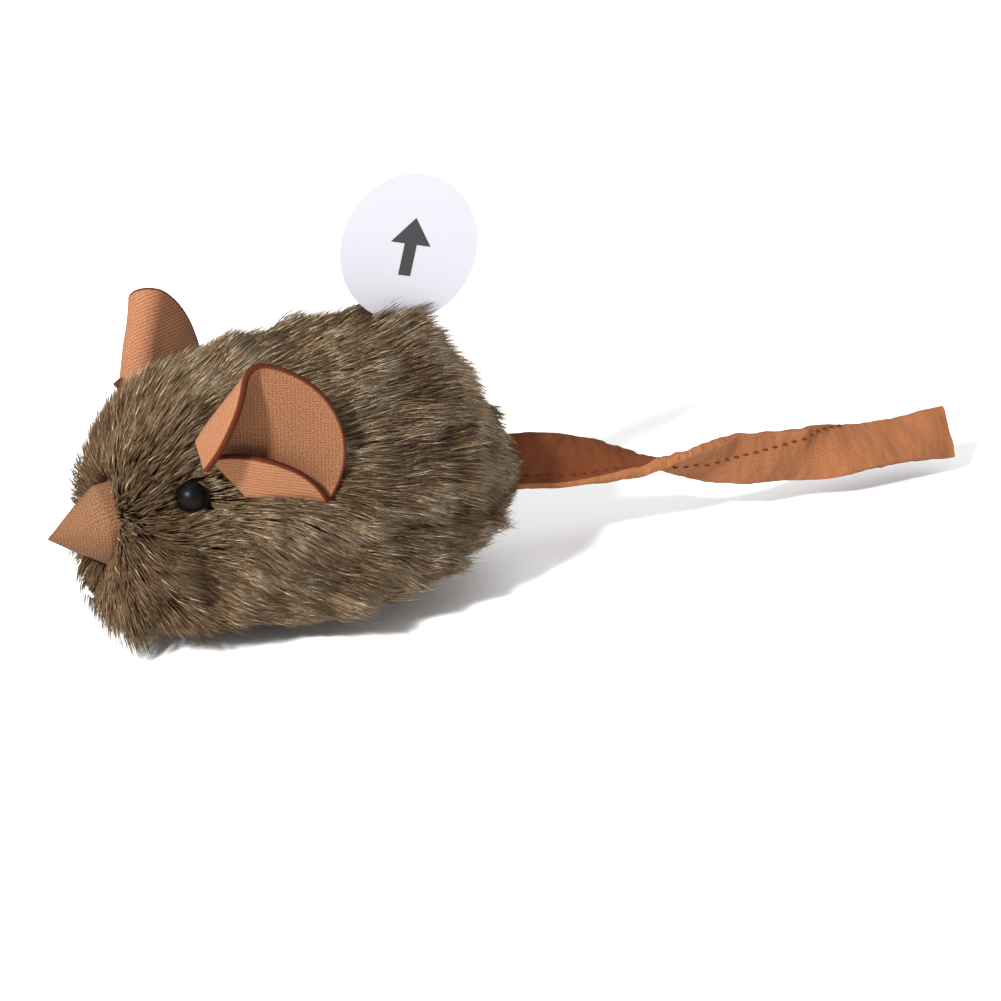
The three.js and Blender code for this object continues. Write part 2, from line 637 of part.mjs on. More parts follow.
// A button cell along X with its raised cap on the +X side
function buttonCell(nearX) {
  const cap = CELL_RADIUS * 0.83;
  const profile = [
    [0, 0],
    [CELL_RADIUS - 0.4, 0],
    [CELL_RADIUS, 0.4],
    [CELL_RADIUS, CELL_THICKNESS - 1],
    [CELL_RADIUS - 0.3, CELL_THICKNESS - 0.7],
    [cap, CELL_THICKNESS - 0.6],
    [cap - 0.3, CELL_THICKNESS],
    [0, CELL_THICKNESS],
  ];
  const cell = turned(profile, 0, 0, 0, 22);
  return cell.rotateY(Math.PI / 2).translate(nearX, 0, CELL_HEIGHT);
}

function contactPlate() {
  const x = -(STACK_END + GAP / 2 + CONTACT_THICKNESS / 2);
  return block(CONTACT_THICKNESS, CELL_DIAMETER * 0.75, CELL_DIAMETER * 0.8, x, 0, CELL_HEIGHT);
}

// A bowed leaf that presses the stack together
function contactSpring() {
  const wallX = BAY_HALF_WIDTH - GAP / 2;
  const tipX = FILM_HALF + CELL_THICKNESS + GAP;
  const reach = CELL_DIAMETER * 0.42;
  const foot = reach - 2 * CONTACT_THICKNESS;
  const bow = new THREE.Shape();
  bow.moveTo(wallX, -reach);
  bow.quadraticCurveTo(2 * tipX - wallX, 0, wallX, reach);
  bow.lineTo(wallX, foot);
  bow.quadraticCurveTo(2 * (tipX + CONTACT_THICKNESS) - wallX, 0, wallX, -foot);
  bow.closePath();
  const width = CELL_DIAMETER * 0.4;
  const leaf = new THREE.ExtrudeGeometry(bow, { depth: width, bevelEnabled: false, curveSegments: 10 });
  return leaf.rotateX(Math.PI / 2).translate(0, width / 2, CELL_HEIGHT);
}

// ---------------------------------------------------------------- pull tab

const TAB_REACH = EXIT_HEIGHT + TAB_DIAMETER / 2 - 0.3; // height of the round head's centre
const STRIP_FOOT = 2.6;

function pullTab() {
  const radius = TAB_DIAMETER / 2;
  const half = STRIP_WIDTH / 2;
  const start = Math.asin(half / radius);
  const outline = new THREE.Shape();
  outline.moveTo(-half, STRIP_FOOT);
  outline.lineTo(half, STRIP_FOOT);
  outline.lineTo(half, TAB_REACH - radius * Math.cos(start));
  outline.absarc(0, TAB_REACH, radius, -Math.PI / 2 + start, 1.5 * Math.PI - start, false);
  outline.closePath();
  const settings = { depth: FILM_THICKNESS, bevelEnabled: false, curveSegments: 24 };
  const tab = new THREE.ExtrudeGeometry(outline, settings).translate(0, 0, -FILM_THICKNESS / 2);
  return tab.rotateX(Math.PI / 2).rotateZ(Math.PI / 2);
}

// The way that the strip needs through the fur and the stuffing
function stripSlot() {
  const height = EXIT_HEIGHT + BODY_HEIGHT;
  return block(2 * (FILM_HALF + GAP), STRIP_WIDTH + 2 * GAP, height, 0, 0, BOX_HEIGHT + height / 2);
}

// ---------------------------------------------------------------- speaker

const SPEAKER_BASE = LID_INSIDE - GAP - SPEAKER_HEIGHT;
const CONE_TRAVEL = 0.2;

function speakerFrame() {
  const inner = SPEAKER_RADIUS - 0.7;
  const profile = [
    [MAGNET_DIAMETER / 4, 0],
    [SPEAKER_RADIUS - 0.6, 0],
    [SPEAKER_RADIUS, 0.6],
    [SPEAKER_RADIUS, SPEAKER_HEIGHT],
    [inner, SPEAKER_HEIGHT],
    [inner, 0.9],
    [MAGNET_DIAMETER / 4, 0.8],
    [MAGNET_DIAMETER / 4, 0],
  ];
  return turned(profile, 0, SPEAKER_Y, SPEAKER_BASE, 24);
}

function speakerMagnet() {
  return post(MAGNET_DIAMETER, MAGNET_HEIGHT, 0, SPEAKER_Y, SPEAKER_BASE - GAP - MAGNET_HEIGHT, 24);
}

function speakerCone() {
  const rim = SPEAKER_RADIUS - 0.7 - GAP;
  const skin = 0.35;
  const low = 0.9 + GAP + CONE_TRAVEL;
  const profile = [
    [0, low + 0.9],
    [rim * 0.3, low + 0.6],
    [rim * 0.42, low],
    [rim * 0.9, low + 1.3],
    [rim, low + 1.2],
    [rim, low + 1.2 + skin],
    [rim * 0.88, low + 1.35 + skin],
    [rim * 0.42, low + 0.1 + skin],
    [rim * 0.3, low + 0.6 + skin],
    [0, low + 0.9 + skin],
  ];
  return turned(profile, 0, SPEAKER_Y, SPEAKER_BASE, 20);
}

// ---------------------------------------------------------------- circuit board and its parts

const SWITCH_X = -BOARD_SIZE[0] / 2 - 0.3; // closed end of the shake switch
const SWITCH_Y = POST_Y - 0.9;
const SWITCH_HEIGHT = BOARD_TOP + GAP + SWITCH_DIAMETER / 2;
const SWITCH_BORE = SWITCH_DIAMETER - 0.8;
const SPRING_HINGE_X = SWITCH_LENGTH - 0.7; // the spring's fixed end, from the closed end
const SPRING_LENGTH = 4.9;
const SPRING_DIAMETER = 2.1;
const SPRING_WIRE = 0.28;
const SPRING_TURNS = 6;
const PIN_DIAMETER = 0.6;

// Puts a part that runs along Z into the switch, which lies along X
function intoSwitch(geometry) {
  return geometry.rotateY(Math.PI / 2).translate(SWITCH_X, SWITCH_Y, SWITCH_HEIGHT);
}

function switchCan() {
  const radius = SWITCH_DIAMETER / 2;
  const profile = [
    [0, 0],
    [radius, 0],
    [radius, SWITCH_LENGTH],
    [SWITCH_BORE / 2, SWITCH_LENGTH],
    [SWITCH_BORE / 2, 0.5],
    [0, 0.5],
  ];
  return intoSwitch(turned(profile, 0, 0, 0, 20));
}

function switchPin() {
  return intoSwitch(post(PIN_DIAMETER, SPRING_LENGTH, 0, 0, 0.5 + GAP / 2, 8));
}

function switchSpring() {
  class Helix extends THREE.Curve {
    getPoint(share) {
      const angle = share * SPRING_TURNS * 2 * Math.PI;
      const reach = SPRING_DIAMETER / 2;
      const along = SPRING_HINGE_X - share * SPRING_LENGTH;
      return new THREE.Vector3(reach * Math.cos(angle), reach * Math.sin(angle), along);
    }
  }
  const section = new THREE.Shape();
  section.absarc(0, 0, SPRING_WIRE / 2, 0, Math.PI * 2);
  const settings = { steps: SPRING_TURNS * 9, curveSegments: 2, extrudePath: new Helix() };
  return intoSwitch(new THREE.ExtrudeGeometry(section, settings));
}

function switchPlug() {
  const clearBore = SWITCH_BORE - 2 * GAP;
  return intoSwitch(post(clearBore, 1, 0, 0, SPRING_HINGE_X + GAP, 14));
}

function chip() {
  const dome = [
    [0, 0],
    [2.2, 0],
    [2, 0.5],
    [1.3, 0.9],
    [0, 1.1],
  ];
  return turned(dome, -BOARD_SIZE[0] * 0.22, BOARD_Y - BOARD_SIZE[1] * 0.26, BOARD_TOP + GAP / 2, 20);
}

function capacitor() {
  const can = [
    [0, 0],
    [1.5, 0],
    [1.5, 0.4],
    [1.35, 0.6],
    [1.5, 0.8],
    [1.5, 3],
    [1.3, 3.2],
    [0, 3.2],
  ];
  return turned(can, BOARD_SIZE[0] * 0.33, BOARD_Y + BOARD_SIZE[1] * 0.3, BOARD_TOP + GAP / 2, 18);
}

function transistor() {
  return block(2.4, 1.5, 1.1, BOARD_SIZE[0] * 0.28, BOARD_Y - BOARD_SIZE[1] * 0.3, BOARD_TOP + GAP / 2 + 0.55);
}

function cellWire(side) {
  const height = BOX_WALL + GAP + WIRE_DIAMETER / 2;
  const edge = -BAY_HALF_LENGTH + WIRE_DIAMETER;
  return wireAlong(
    [
      [side * (BAY_HALF_WIDTH - 1.2), edge + 1.6, height],
      [side * (BAY_HALF_WIDTH - 1.6), edge + 0.2, height],
      [side * (POST_X - POST_DIAMETER / 2 - 1), edge, height],
      [side * (POST_X - POST_DIAMETER / 2 - 1), edge - 1.4, height + 0.2],
    ],
    WIRE_DIAMETER,
    14,
  );
}

function speakerWire(side) {
  const x = side * (SPEAKER_RADIUS - 1.3);
  return wireAlong(
    [
      [x, SPEAKER_Y - 1.2 * side, SPEAKER_BASE - GAP - WIRE_DIAMETER / 2],
      [x, SPEAKER_Y - 2.2, SPEAKER_BASE - 2.5],
      [x, SPEAKER_Y - 2.2, BOARD_TOP + 1],
    ],
    WIRE_DIAMETER,
    10,
  );
}

// ---------------------------------------------------------------- skin and stuffing

const tailSlot = solid(tailBand(seamShare, 4 * gapShare, 6, GAP))
  .add(liftDisc(TAIL_POCKET_RADIUS, TAIL_THICKNESS + 2 * GAP));
const stripWay = solid(stripSlot().applyMatrix4(boxFrame));
const skin = pileForm
  .subtract(solid(bodyForm(SKIN_DEPTH, INNER_ROWS, INNER_COLUMNS)))
  .subtract(solid(block(BIG, BIG, BIG, 0, 0, -BIG / 2)))
  .subtract(tailSlot)
  .subtract(stripWay)
  .subtract(noseSlot);
const belowBellySeam = solid(block(BIG, BIG, BIG, 0, 0, BELLY_PANEL_HEIGHT - BIG / 2));
const aboveBellySeam = solid(block(BIG, BIG, BIG, 0, 0, BELLY_PANEL_HEIGHT + GAP + BIG / 2));
const leftOfBackSeam = solid(block(BIG, BIG, BIG, (BIG + GAP) / 2, 0, 0));

const sidePanel = skin.intersect(aboveBellySeam).intersect(leftOfBackSeam).subtract(eyeSocket);
const furSideLeft = geometryOf(sidePanel.subtract(earLeft.slot));
const furSideRight = mirrored(geometryOf(sidePanel.subtract(earRight.slot)));
const furBelly = geometryOf(skin.intersect(belowBellySeam));

function stuffing(lower) {
  const room = boxSlab(BOX_WALL + 2 * GAP, -2 * GAP, BOX_HEIGHT + 2 * GAP);
  const cut = BOX_HEIGHT / 2;
  const offset = lower ? cut - GAP / 2 - BIG / 2 : cut + GAP / 2 + BIG / 2;
  const half = solid(block(BIG, BIG, BIG, 0, 0, offset).applyMatrix4(boxFrame));
  const otherSocket = solid(mirrored(geometryOf(eyeSocket)));
  const body = solid(bodyForm(SKIN_DEPTH + GAP, INNER_ROWS, INNER_COLUMNS))
    .subtract(solid(geometryOf(room).applyMatrix4(boxFrame)))
    .subtract(tailSlot)
    .subtract(stripWay)
    .subtract(eyeSocket)
    .subtract(otherSocket);
  return geometryOf(body.intersect(half));
}

// A short end of the thread that closes the seam under the chin
function closingStitch() {
  const chin = bodyPoint(0.16, -Math.PI / 2);
  const y = -BODY_LENGTH / 2 + 1;
  return wireAlong(
    [
      [-1.6, y - 0.5, chin.z + 4.2],
      [-0.5, y - 0.9, chin.z + 3.6],
      [0.5, y - 1.0, chin.z + 4.4],
      [1.5, y - 0.6, chin.z + 3.8],
    ],
    0.5,
    12,
  );
}

// ---------------------------------------------------------------- assembly

const mouse = new THREE.Group();
mouse.add(
  piece('fur_side_left', furSideLeft, fur()),
  piece('fur_side_right', furSideRight, fur()),
  piece('fur_belly', furBelly, fur()),
  piece('closing_stitch', closingStitch(), thread()),
  piece('nose', geometryOf(nose), suede()),
  piece('ear_left', geometryOf(earLeft.ear), suede()),
  piece('ear_right', mirrored(geometryOf(earRight.ear)), suede()),
  piece('eye_left', geometryOf(eye), beadBlack()),
  piece('eye_right', mirrored(geometryOf(eye)), beadBlack()),
  piece('eye_washer_left', geometryOf(washer), film()),
  piece('eye_washer_right', mirrored(geometryOf(washer)), film()),
  piece('tail_seam', geometryOf(tailSeam), suede()),
  piece('tail_base', geometryOf(tailBase), suede()),
  piece('tail', geometryOf(tailEnd), suede()),
  piece('stuffing_lower', stuffing(true), fibre()),
  piece('stuffing_upper', stuffing(false), fibre()),
);

const soundBox = new THREE.Group();
soundBox.applyMatrix4(boxFrame);
soundBox.add(
  piece('box_base', boxBase(), casePlastic()),
  piece('box_lid', boxLid(), casePlastic()),
  piece('box_screw_left', boxScrew(POST_X), steel()),
  piece('box_screw_right', boxScrew(-POST_X), steel()),
  piece('cell_left', buttonCell(FILM_HALF), steel()),
  piece('cell_middle', buttonCell(-FILM_HALF - CELL_THICKNESS), steel()),
  piece('cell_right', buttonCell(-FILM_HALF - CELL_THICKNESS - CELL_PITCH), steel()),
  piece('contact_plate', contactPlate(), brass()),
  piece('contact_spring', contactSpring(), brass()),
  piece('pull_tab', pullTab(), film()),
  piece('speaker_frame', speakerFrame(), steel()),
  piece('speaker_magnet', speakerMagnet(), steel()),
  piece('speaker_cone', speakerCone(), speakerPaper()),
  piece('circuit_board', block(...BOARD_SIZE, 0, BOARD_Y, BOARD_BASE + BOARD_SIZE[2] / 2), boardGreen()),
  piece('sound_chip', chip(), blackPlastic()),
  piece('capacitor', capacitor(), blackPlastic()),
  piece('transistor', transistor(), blackPlastic()),
  piece('switch_can', switchCan(), steel()),
  piece('switch_plug', switchPlug(), blackPlastic()),
  piece('switch_pin', switchPin(), brass()),
  piece('switch_spring', switchSpring(), brass()),
  piece('cell_wire_left', cellWire(1), blackPlastic()),
  piece('cell_wire_right', cellWire(-1), blackPlastic()),
  piece('speaker_wire_left', speakerWire(1), blackPlastic()),
  piece('speaker_wire_right', speakerWire(-1), blackPlastic()),
);
mouse.add(soundBox);

export default mouse;
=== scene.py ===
# %% [markdown]
# # A plush cat-toy mouse with a pull tab
# The real toy is a stuffed bag of long-pile fur cloth with ears, a nose and a tail of suede cloth.
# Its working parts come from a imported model, the frame, which fixes every place and size.
# Everything made here is laid around that frame, in metres, with the mouse's nose towards -Y.

# %% Load the frame
import math

import bmesh
import bpy
import numpy as np
from mathutils import Matrix, Vector, noise
from mathutils.bvhtree import BVHTree
from mathutils.kdtree import KDTree


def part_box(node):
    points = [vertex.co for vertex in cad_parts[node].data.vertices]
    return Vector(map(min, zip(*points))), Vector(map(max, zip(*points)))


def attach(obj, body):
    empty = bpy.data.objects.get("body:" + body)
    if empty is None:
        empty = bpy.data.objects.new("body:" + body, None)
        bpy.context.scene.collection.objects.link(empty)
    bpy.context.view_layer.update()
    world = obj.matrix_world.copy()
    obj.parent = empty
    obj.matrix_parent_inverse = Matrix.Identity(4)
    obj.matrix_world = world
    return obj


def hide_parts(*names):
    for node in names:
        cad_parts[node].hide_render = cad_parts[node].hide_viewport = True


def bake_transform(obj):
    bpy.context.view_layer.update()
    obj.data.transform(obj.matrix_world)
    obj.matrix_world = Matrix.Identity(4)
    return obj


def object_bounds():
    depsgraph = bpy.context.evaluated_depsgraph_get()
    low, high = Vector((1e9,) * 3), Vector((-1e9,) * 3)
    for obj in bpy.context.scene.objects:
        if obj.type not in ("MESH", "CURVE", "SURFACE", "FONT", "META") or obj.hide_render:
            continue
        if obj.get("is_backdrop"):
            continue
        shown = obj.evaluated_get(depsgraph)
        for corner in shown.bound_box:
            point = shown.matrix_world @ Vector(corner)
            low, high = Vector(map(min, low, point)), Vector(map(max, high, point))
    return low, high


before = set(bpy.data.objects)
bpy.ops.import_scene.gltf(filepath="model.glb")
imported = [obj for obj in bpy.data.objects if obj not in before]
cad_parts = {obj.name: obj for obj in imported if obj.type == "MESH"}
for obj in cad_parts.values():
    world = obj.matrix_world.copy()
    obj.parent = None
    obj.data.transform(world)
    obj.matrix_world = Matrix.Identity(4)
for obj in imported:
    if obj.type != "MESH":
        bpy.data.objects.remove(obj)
cad_box = [list(corner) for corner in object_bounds()]
MM = 0.001
print("nodes in the frame:", len(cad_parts))

# %% [markdown]
# ## Camera
# A small toy looks right from far enough away that it isn't distorted, so a long lens stands
# nearly half a metre off, above and to one side of the nose. The camera has no depth of field, and it
# comes first because everything after it is judged through it.

# %% Make the camera
CAMERA_TURN = math.radians(64.0)
CAMERA_RISE = math.radians(20.2)
CAMERA_DISTANCE = 0.45
CAMERA_AIM = Vector((0, 0.0323, 0.0113))

away = Vector((
    math.sin(CAMERA_TURN) * math.cos(CAMERA_RISE),
    -math.cos(CAMERA_TURN) * math.cos(CAMERA_RISE),
    math.sin(CAMERA_RISE),
))
camera_data = bpy.data.cameras.new("camera")
camera_data.sensor_width = 36
camera_data.lens = 104
camera = bpy.data.objects.new("camera", camera_data)
bpy.context.collection.objects.link(camera)
camera.location = CAMERA_AIM + away * CAMERA_DISTANCE
camera.rotation_euler = (-away).to_track_quat("-Z", "Y").to_euler()
bpy.context.scene.camera = camera
bpy.context.scene.view_settings.view_transform = "Standard"
print("camera at", [round(v, 3) for v in camera.location])

# %% [markdown]
# ## Helpers for meshes
# Each piece is a bmesh that ends as an object with its place in its mesh, so that its own origin is
# the frame's origin. The helpers turn a bmesh into such an object and shade it smooth.

# %% Turn a bmesh into a finished object
def finish_piece(bm, name, materials, smooth=True):
    mesh = bpy.data.meshes.new(name)
    bm.to_mesh(mesh)
    bm.free()
    for material in materials:
        mesh.materials.append(material)
    mesh.polygons.foreach_set("use_smooth", np.full(len(mesh.polygons), smooth))
    mesh.update()
    piece = bpy.data.objects.new(name, mesh)
    bpy.context.collection.objects.link(piece)
    return piece


def smooth_step(value, low, high):
    share = np.clip((value - low) / (high - low), 0, 1)
    return share * share * (3 - 2 * share)


# %% [markdown]
# ## The body's form
# The stuffed bag is a blunt face, a round back that is highest behind the middle and a rump that
# closes to a point at the tail. A ring of the form is a rounded section with a flatter belly. Rings
# follow one another from the face, station 0, to the rump, station 1, and a smooth curve runs through
# their widths, tops and bottoms. The panels, the pile, the eyes and the ears all take their places
# from this one function, so they fit each other.

# %% A smooth form through a few rings
side_low, side_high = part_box("fur_side_left")
HALF_LENGTH = round((side_high.y - side_low.y) / 2, 3)
HALF_WIDTH = round(side_high.x, 4)
HALF_HEIGHT = round(side_high.z / 2, 3)
PILE_DEPTH = 3.8 * MM
CLOTH = 1.0 * MM
SECTION_WAIST = 0.45
ROUNDNESS_TOP = 2.2
ROUNDNESS_BELLY = 2.8
RINGS = np.array([
    [-0.5, 0, 0.375, 0.375],
    [-0.49, 0.3, 0.534, 0.193],
    [-0.45, 0.552, 0.686, 0.059],
    [-0.371, 0.707, 0.823, 0.009],
    [-0.243, 0.879, 0.923, -0.009],
    [-0.086, 1, 0.961, -0.014],
    [0.071, 0.966, 0.995, -0.014],
    [0.214, 0.862, 0.977, 0.027],
    [0.336, 0.707, 0.823, 0.118],
    [0.436, 0.431, 0.625, 0.223],
    [0.486, 0.216, 0.5, 0.307],
    [0.5, 0, 0.398, 0.398],
])  # place along the length, half width, top and bottom, as shares


def through(rows, share):
    """A smooth curve through evenly spaced rows, at shares from 0 to 1."""
    last = len(rows) - 1
    spot = np.clip(share, 0, 1) * last
    start = np.minimum(spot.astype(int), last - 1)
    t = (spot - start)[:, None]
    before, here = rows[np.maximum(start - 1, 0)], rows[start]
    there, beyond = rows[start + 1], rows[np.minimum(start + 2, last)]
    out_of, into = (there - before) / 2, (beyond - here) / 2
    return (
        (2 * here - 2 * there + out_of + into) * t**3
        + (-3 * here + 3 * there - 2 * out_of - into) * t**2
        + out_of * t
        + here
    )


def body_surface(station, turn, inset=0.0):
    """Points of the body's form. turn is the angle around from +X, and inset draws the form in."""
    along, half, top, bottom = through(RINGS, station).T
    waist = bottom + (top - bottom) * SECTION_WAIST
    side, rise = np.cos(turn), np.sin(turn)
    upper = rise > 0
    reach = np.where(upper, top - waist, waist - bottom)
    power = np.where(upper, 2 / ROUNDNESS_TOP, 2 / ROUNDNESS_BELLY)
    x = np.sign(side) * np.abs(side) ** (2 / ROUNDNESS_TOP) * np.maximum(half, 0) * (HALF_WIDTH - inset)
    height = (waist + np.sign(rise) * np.abs(rise) ** power * reach) * 2 - 1
    z = HALF_HEIGHT + height * (HALF_HEIGHT - inset)
    y = along * 2 * (HALF_LENGTH - inset)
    place = np.stack([x, y, z], 1)
    groove = face_groove(place)
    place[:, 1] += groove
    place[:, 2] = np.maximum(place[:, 2], inset)
    return place


GROOVE_DEPTH = 1.7 * MM
GROOVE_WIDTH = 1.9 * MM


def face_groove(place):
    """How far the stitches of the face seam pull the fur in, below the nose."""
    near = np.exp(-((place[:, 0] / GROOVE_WIDTH) ** 2))
    front = 1 - smooth_step(place[:, 1], -HALF_LENGTH + 5 * MM, -HALF_LENGTH + 9 * MM)
    low = 1 - smooth_step(place[:, 2], 18 * MM, 25 * MM)
    return GROOVE_DEPTH * near * front * low


def unit(rows):
    return rows / np.maximum(np.linalg.norm(rows, axis=1, keepdims=True), 1e-12)


def surface_frame(station, turn, inset=0.0):
    """The surface's points, outward normals and the direction from nose to tail along it."""
    step = 0.004
    ahead = body_surface(np.minimum(station + step, 1), turn, inset)
    behind = body_surface(np.maximum(station - step, 0), turn, inset)
    around = body_surface(station, turn + step, inset) - body_surface(station, turn - step, inset)
    place = body_surface(station, turn, inset)
    rearward = unit(ahead - behind)
    normal = unit(np.cross(rearward, around))
    return place, normal, rearward


def one_point(station, turn, inset=0.0):
    place, normal, rearward = surface_frame(np.array([station]), np.array([turn]), inset)
    return Vector(place[0]), Vector(normal[0]), Vector(rearward[0])


print("half length, width and height:", HALF_LENGTH, HALF_WIDTH, HALF_HEIGHT)

# %% [markdown]
# ## Materials that are one even finish with a grain
# Moulded plastic, metal plate and resin are even finishes whose roughness and colour vary a little
# from place to place. One function makes them all: a noise pattern on Object coordinates shifts the
# colour between two close tones and gives a fine bump.

# %% A node-based finish for hard parts
def node_material(name):
    material = bpy.data.materials.new(name)
    material.use_nodes = True
    tree = material.node_tree
    return material, tree.nodes, tree.links, tree.nodes["Principled BSDF"]


def linear(red, green, blue):
    """A colour as seen on a screen, from 0 to 255, as the shader's linear colour."""
    def one(value):
        share = value / 255
        return share / 12.92 if share <= 0.04045 else ((share + 0.055) / 1.055) ** 2.4
    return (one(red), one(green), one(blue), 1.0)


def feed(links, socket, value):
    """Give a socket a value, or join it to another node's output."""
    if isinstance(value, bpy.types.NodeSocket):
        links.new(value, socket)
    else:
        socket.default_value = value


def mixed(nodes, links, factor, dark, light):
    """A colour between two tones, by a factor from another node."""
    mix = nodes.new("ShaderNodeMix")
    mix.data_type = "RGBA"
    for name, value in (("A", dark), ("B", light), ("Factor", factor)):
        feed(links, mix.inputs[name], value)
    return mix.outputs["Result"]


def sums(nodes, links, operation, *values):
    """One step of arithmetic on numbers or on other nodes' outputs."""
    node = nodes.new("ShaderNodeMath")
    node.operation = operation
    for socket, value in zip(node.inputs, values):
        feed(links, socket, value)
    return node.outputs[0]


def noise_pattern(nodes, links, place, scale, detail, roughness=0.5):
    pattern = nodes.new("ShaderNodeTexNoise")
    pattern.inputs["Scale"].default_value = scale
    pattern.inputs["Detail"].default_value = detail
    pattern.inputs["Roughness"].default_value = roughness
    links.new(place, pattern.inputs["Vector"])
    return pattern.outputs["Fac"]


def ramp_between(nodes, links, value, low, high):
    """0 below the low value, 1 above the high one and a straight slope between."""
    ramp = nodes.new("ShaderNodeMapRange")
    ramp.inputs["From Min"].default_value = low
    ramp.inputs["From Max"].default_value = high
    links.new(value, ramp.inputs["Value"])
    return ramp.outputs["Result"]


def emboss(nodes, links, shader, pattern, strength, distance):
    height = nodes.new("ShaderNodeBump")
    height.inputs["Strength"].default_value = strength
    height.inputs["Distance"].default_value = distance
    links.new(pattern, height.inputs["Height"])
    links.new(height.outputs["Normal"], shader.inputs["Normal"])


def dull(material, shine):
    """Turn down the mirror-like part of a finish."""
    material.node_tree.nodes["Principled BSDF"].inputs["Specular IOR Level"].default_value = shine


GRAIN_DEPTH = 0.1 * MM


def hard_finish(name, colour, roughness, metallic=0.0, grain=900.0, contrast=0.12, bump=0.05):
    material, nodes, links, shader = node_material(name)
    place = nodes.new("ShaderNodeTexCoord")
    pattern = noise_pattern(nodes, links, place.outputs["Object"], grain, 4)
    base = linear(*colour)
    dark = tuple(v * (1 - contrast) for v in base[:3]) + (1.0,)
    light = tuple(min(v * (1 + contrast), 1.0) for v in base[:3]) + (1.0,)
    links.new(mixed(nodes, links, pattern, dark, light), shader.inputs["Base Color"])
    emboss(nodes, links, shader, pattern, bump, GRAIN_DEPTH)
    shader.inputs["Roughness"].default_value = roughness
    shader.inputs["Metallic"].default_value = metallic
    return material


def repaint(node, material):
    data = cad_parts[node].data
    data.materials.clear()
    data.materials.append(material)


# %% [markdown]
# ## The sound box and what is in it
# Inside the stuffing lies a moulded box with three button cells, two contacts, a circuit board, a
# shake switch and a small speaker. Their shapes are right in the frame already, so they only need
# their finishes: off-white plastic, nickel-plated steel, brass, lacquered laminate, black resin, dark
# paper for the cone and coloured insulation on the wires.

# %% Finish the inner parts
CASE = hard_finish("moulded case", (214, 211, 203), 0.45)
NICKEL = hard_finish("nickel-plated steel", (196, 197, 199), 0.28, metallic=1.0, contrast=0.05)
DARK_NICKEL = hard_finish("magnet plating", (96, 96, 100), 0.4, metallic=1.0)
BRASS = hard_finish("contact brass", (201, 168, 92), 0.32, metallic=1.0, contrast=0.08)
LAMINATE = hard_finish("board lacquer", (38, 98, 55), 0.35, grain=500, contrast=0.2)
RESIN = hard_finish("black resin", (24, 24, 26), 0.4, contrast=0.25)
CONE_PAPER = hard_finish("cone paper", (44, 42, 40), 0.8, grain=2500, contrast=0.3, bump=0.3)
RED_WIRE = hard_finish("red insulation", (168, 30, 26), 0.45)
BLACK_WIRE = hard_finish("black insulation", (26, 26, 28), 0.45)
WASHER = hard_finish("washer plastic", (226, 226, 222), 0.4)
WHITE_THREAD = hard_finish("white thread", (196, 196, 190), 0.8, grain=4000, contrast=0.2)
INNER_FINISHES = {
    CASE: ["box_base", "box_lid"],
    NICKEL: ["cell_left", "cell_middle", "cell_right", "speaker_frame", "switch_can"],
    DARK_NICKEL: ["speaker_magnet", "box_screw_left", "box_screw_right"],
    BRASS: ["contact_plate", "contact_spring", "switch_pin", "switch_spring"],
    LAMINATE: ["circuit_board"],
    RESIN: ["sound_chip", "capacitor", "transistor", "switch_plug"],
    CONE_PAPER: ["speaker_cone"],
    RED_WIRE: ["cell_wire_left", "speaker_wire_left"],
    BLACK_WIRE: ["cell_wire_right", "speaker_wire_right"],
    WASHER: ["eye_washer_left", "eye_washer_right"],
    WHITE_THREAD: ["closing_stitch"],
}
for material, names in INNER_FINISHES.items():
    for node in names:
        repaint(node, material)
print("inner parts finished:", sum(len(names) for names in INNER_FINISHES.values()))

# %% [markdown]
# ## Suede and knitted cloth
# The ears and the nose are cut from a thin knitted suede: under light it shows fine ribs with a dark
# dot between the loops. The tail is the same colour with a smoother, brushed face, and one face of its
# strip is darker: painted shade, for the twisted part near the rump that lies in shade. The pattern has
# to follow the cloth round its folds, so it reads a UV map in which one unit is one millimetre of flat
# cloth. A hot knife cut the ears, which left a dark melted line along their edge: the ears' UV map is
# centred on the round piece, so the distance from its middle finds that line.

# %% A knitted suede that reads its UV map
def sine_rib(nodes, links, source, pitch, waver):
    """A ridge pattern from 0 to 1 along one coordinate, in millimetres of cloth."""
    turn = sums(nodes, links, "MULTIPLY", source, 2 * math.pi / pitch)
    wave = sums(nodes, links, "SINE", sums(nodes, links, "ADD", turn, waver))
    return sums(nodes, links, "MULTIPLY_ADD", wave, 0.5, 0.5)


FUZZ_WAVER = 2.5
NAP_SHARE = 0.62
NAP_DEPTH = 0.12 * MM
BURNT_CLOTH = linear(70, 30, 15)
BURNT_BAND = (0.42, 0.20)  # millimetres in from the cut edge


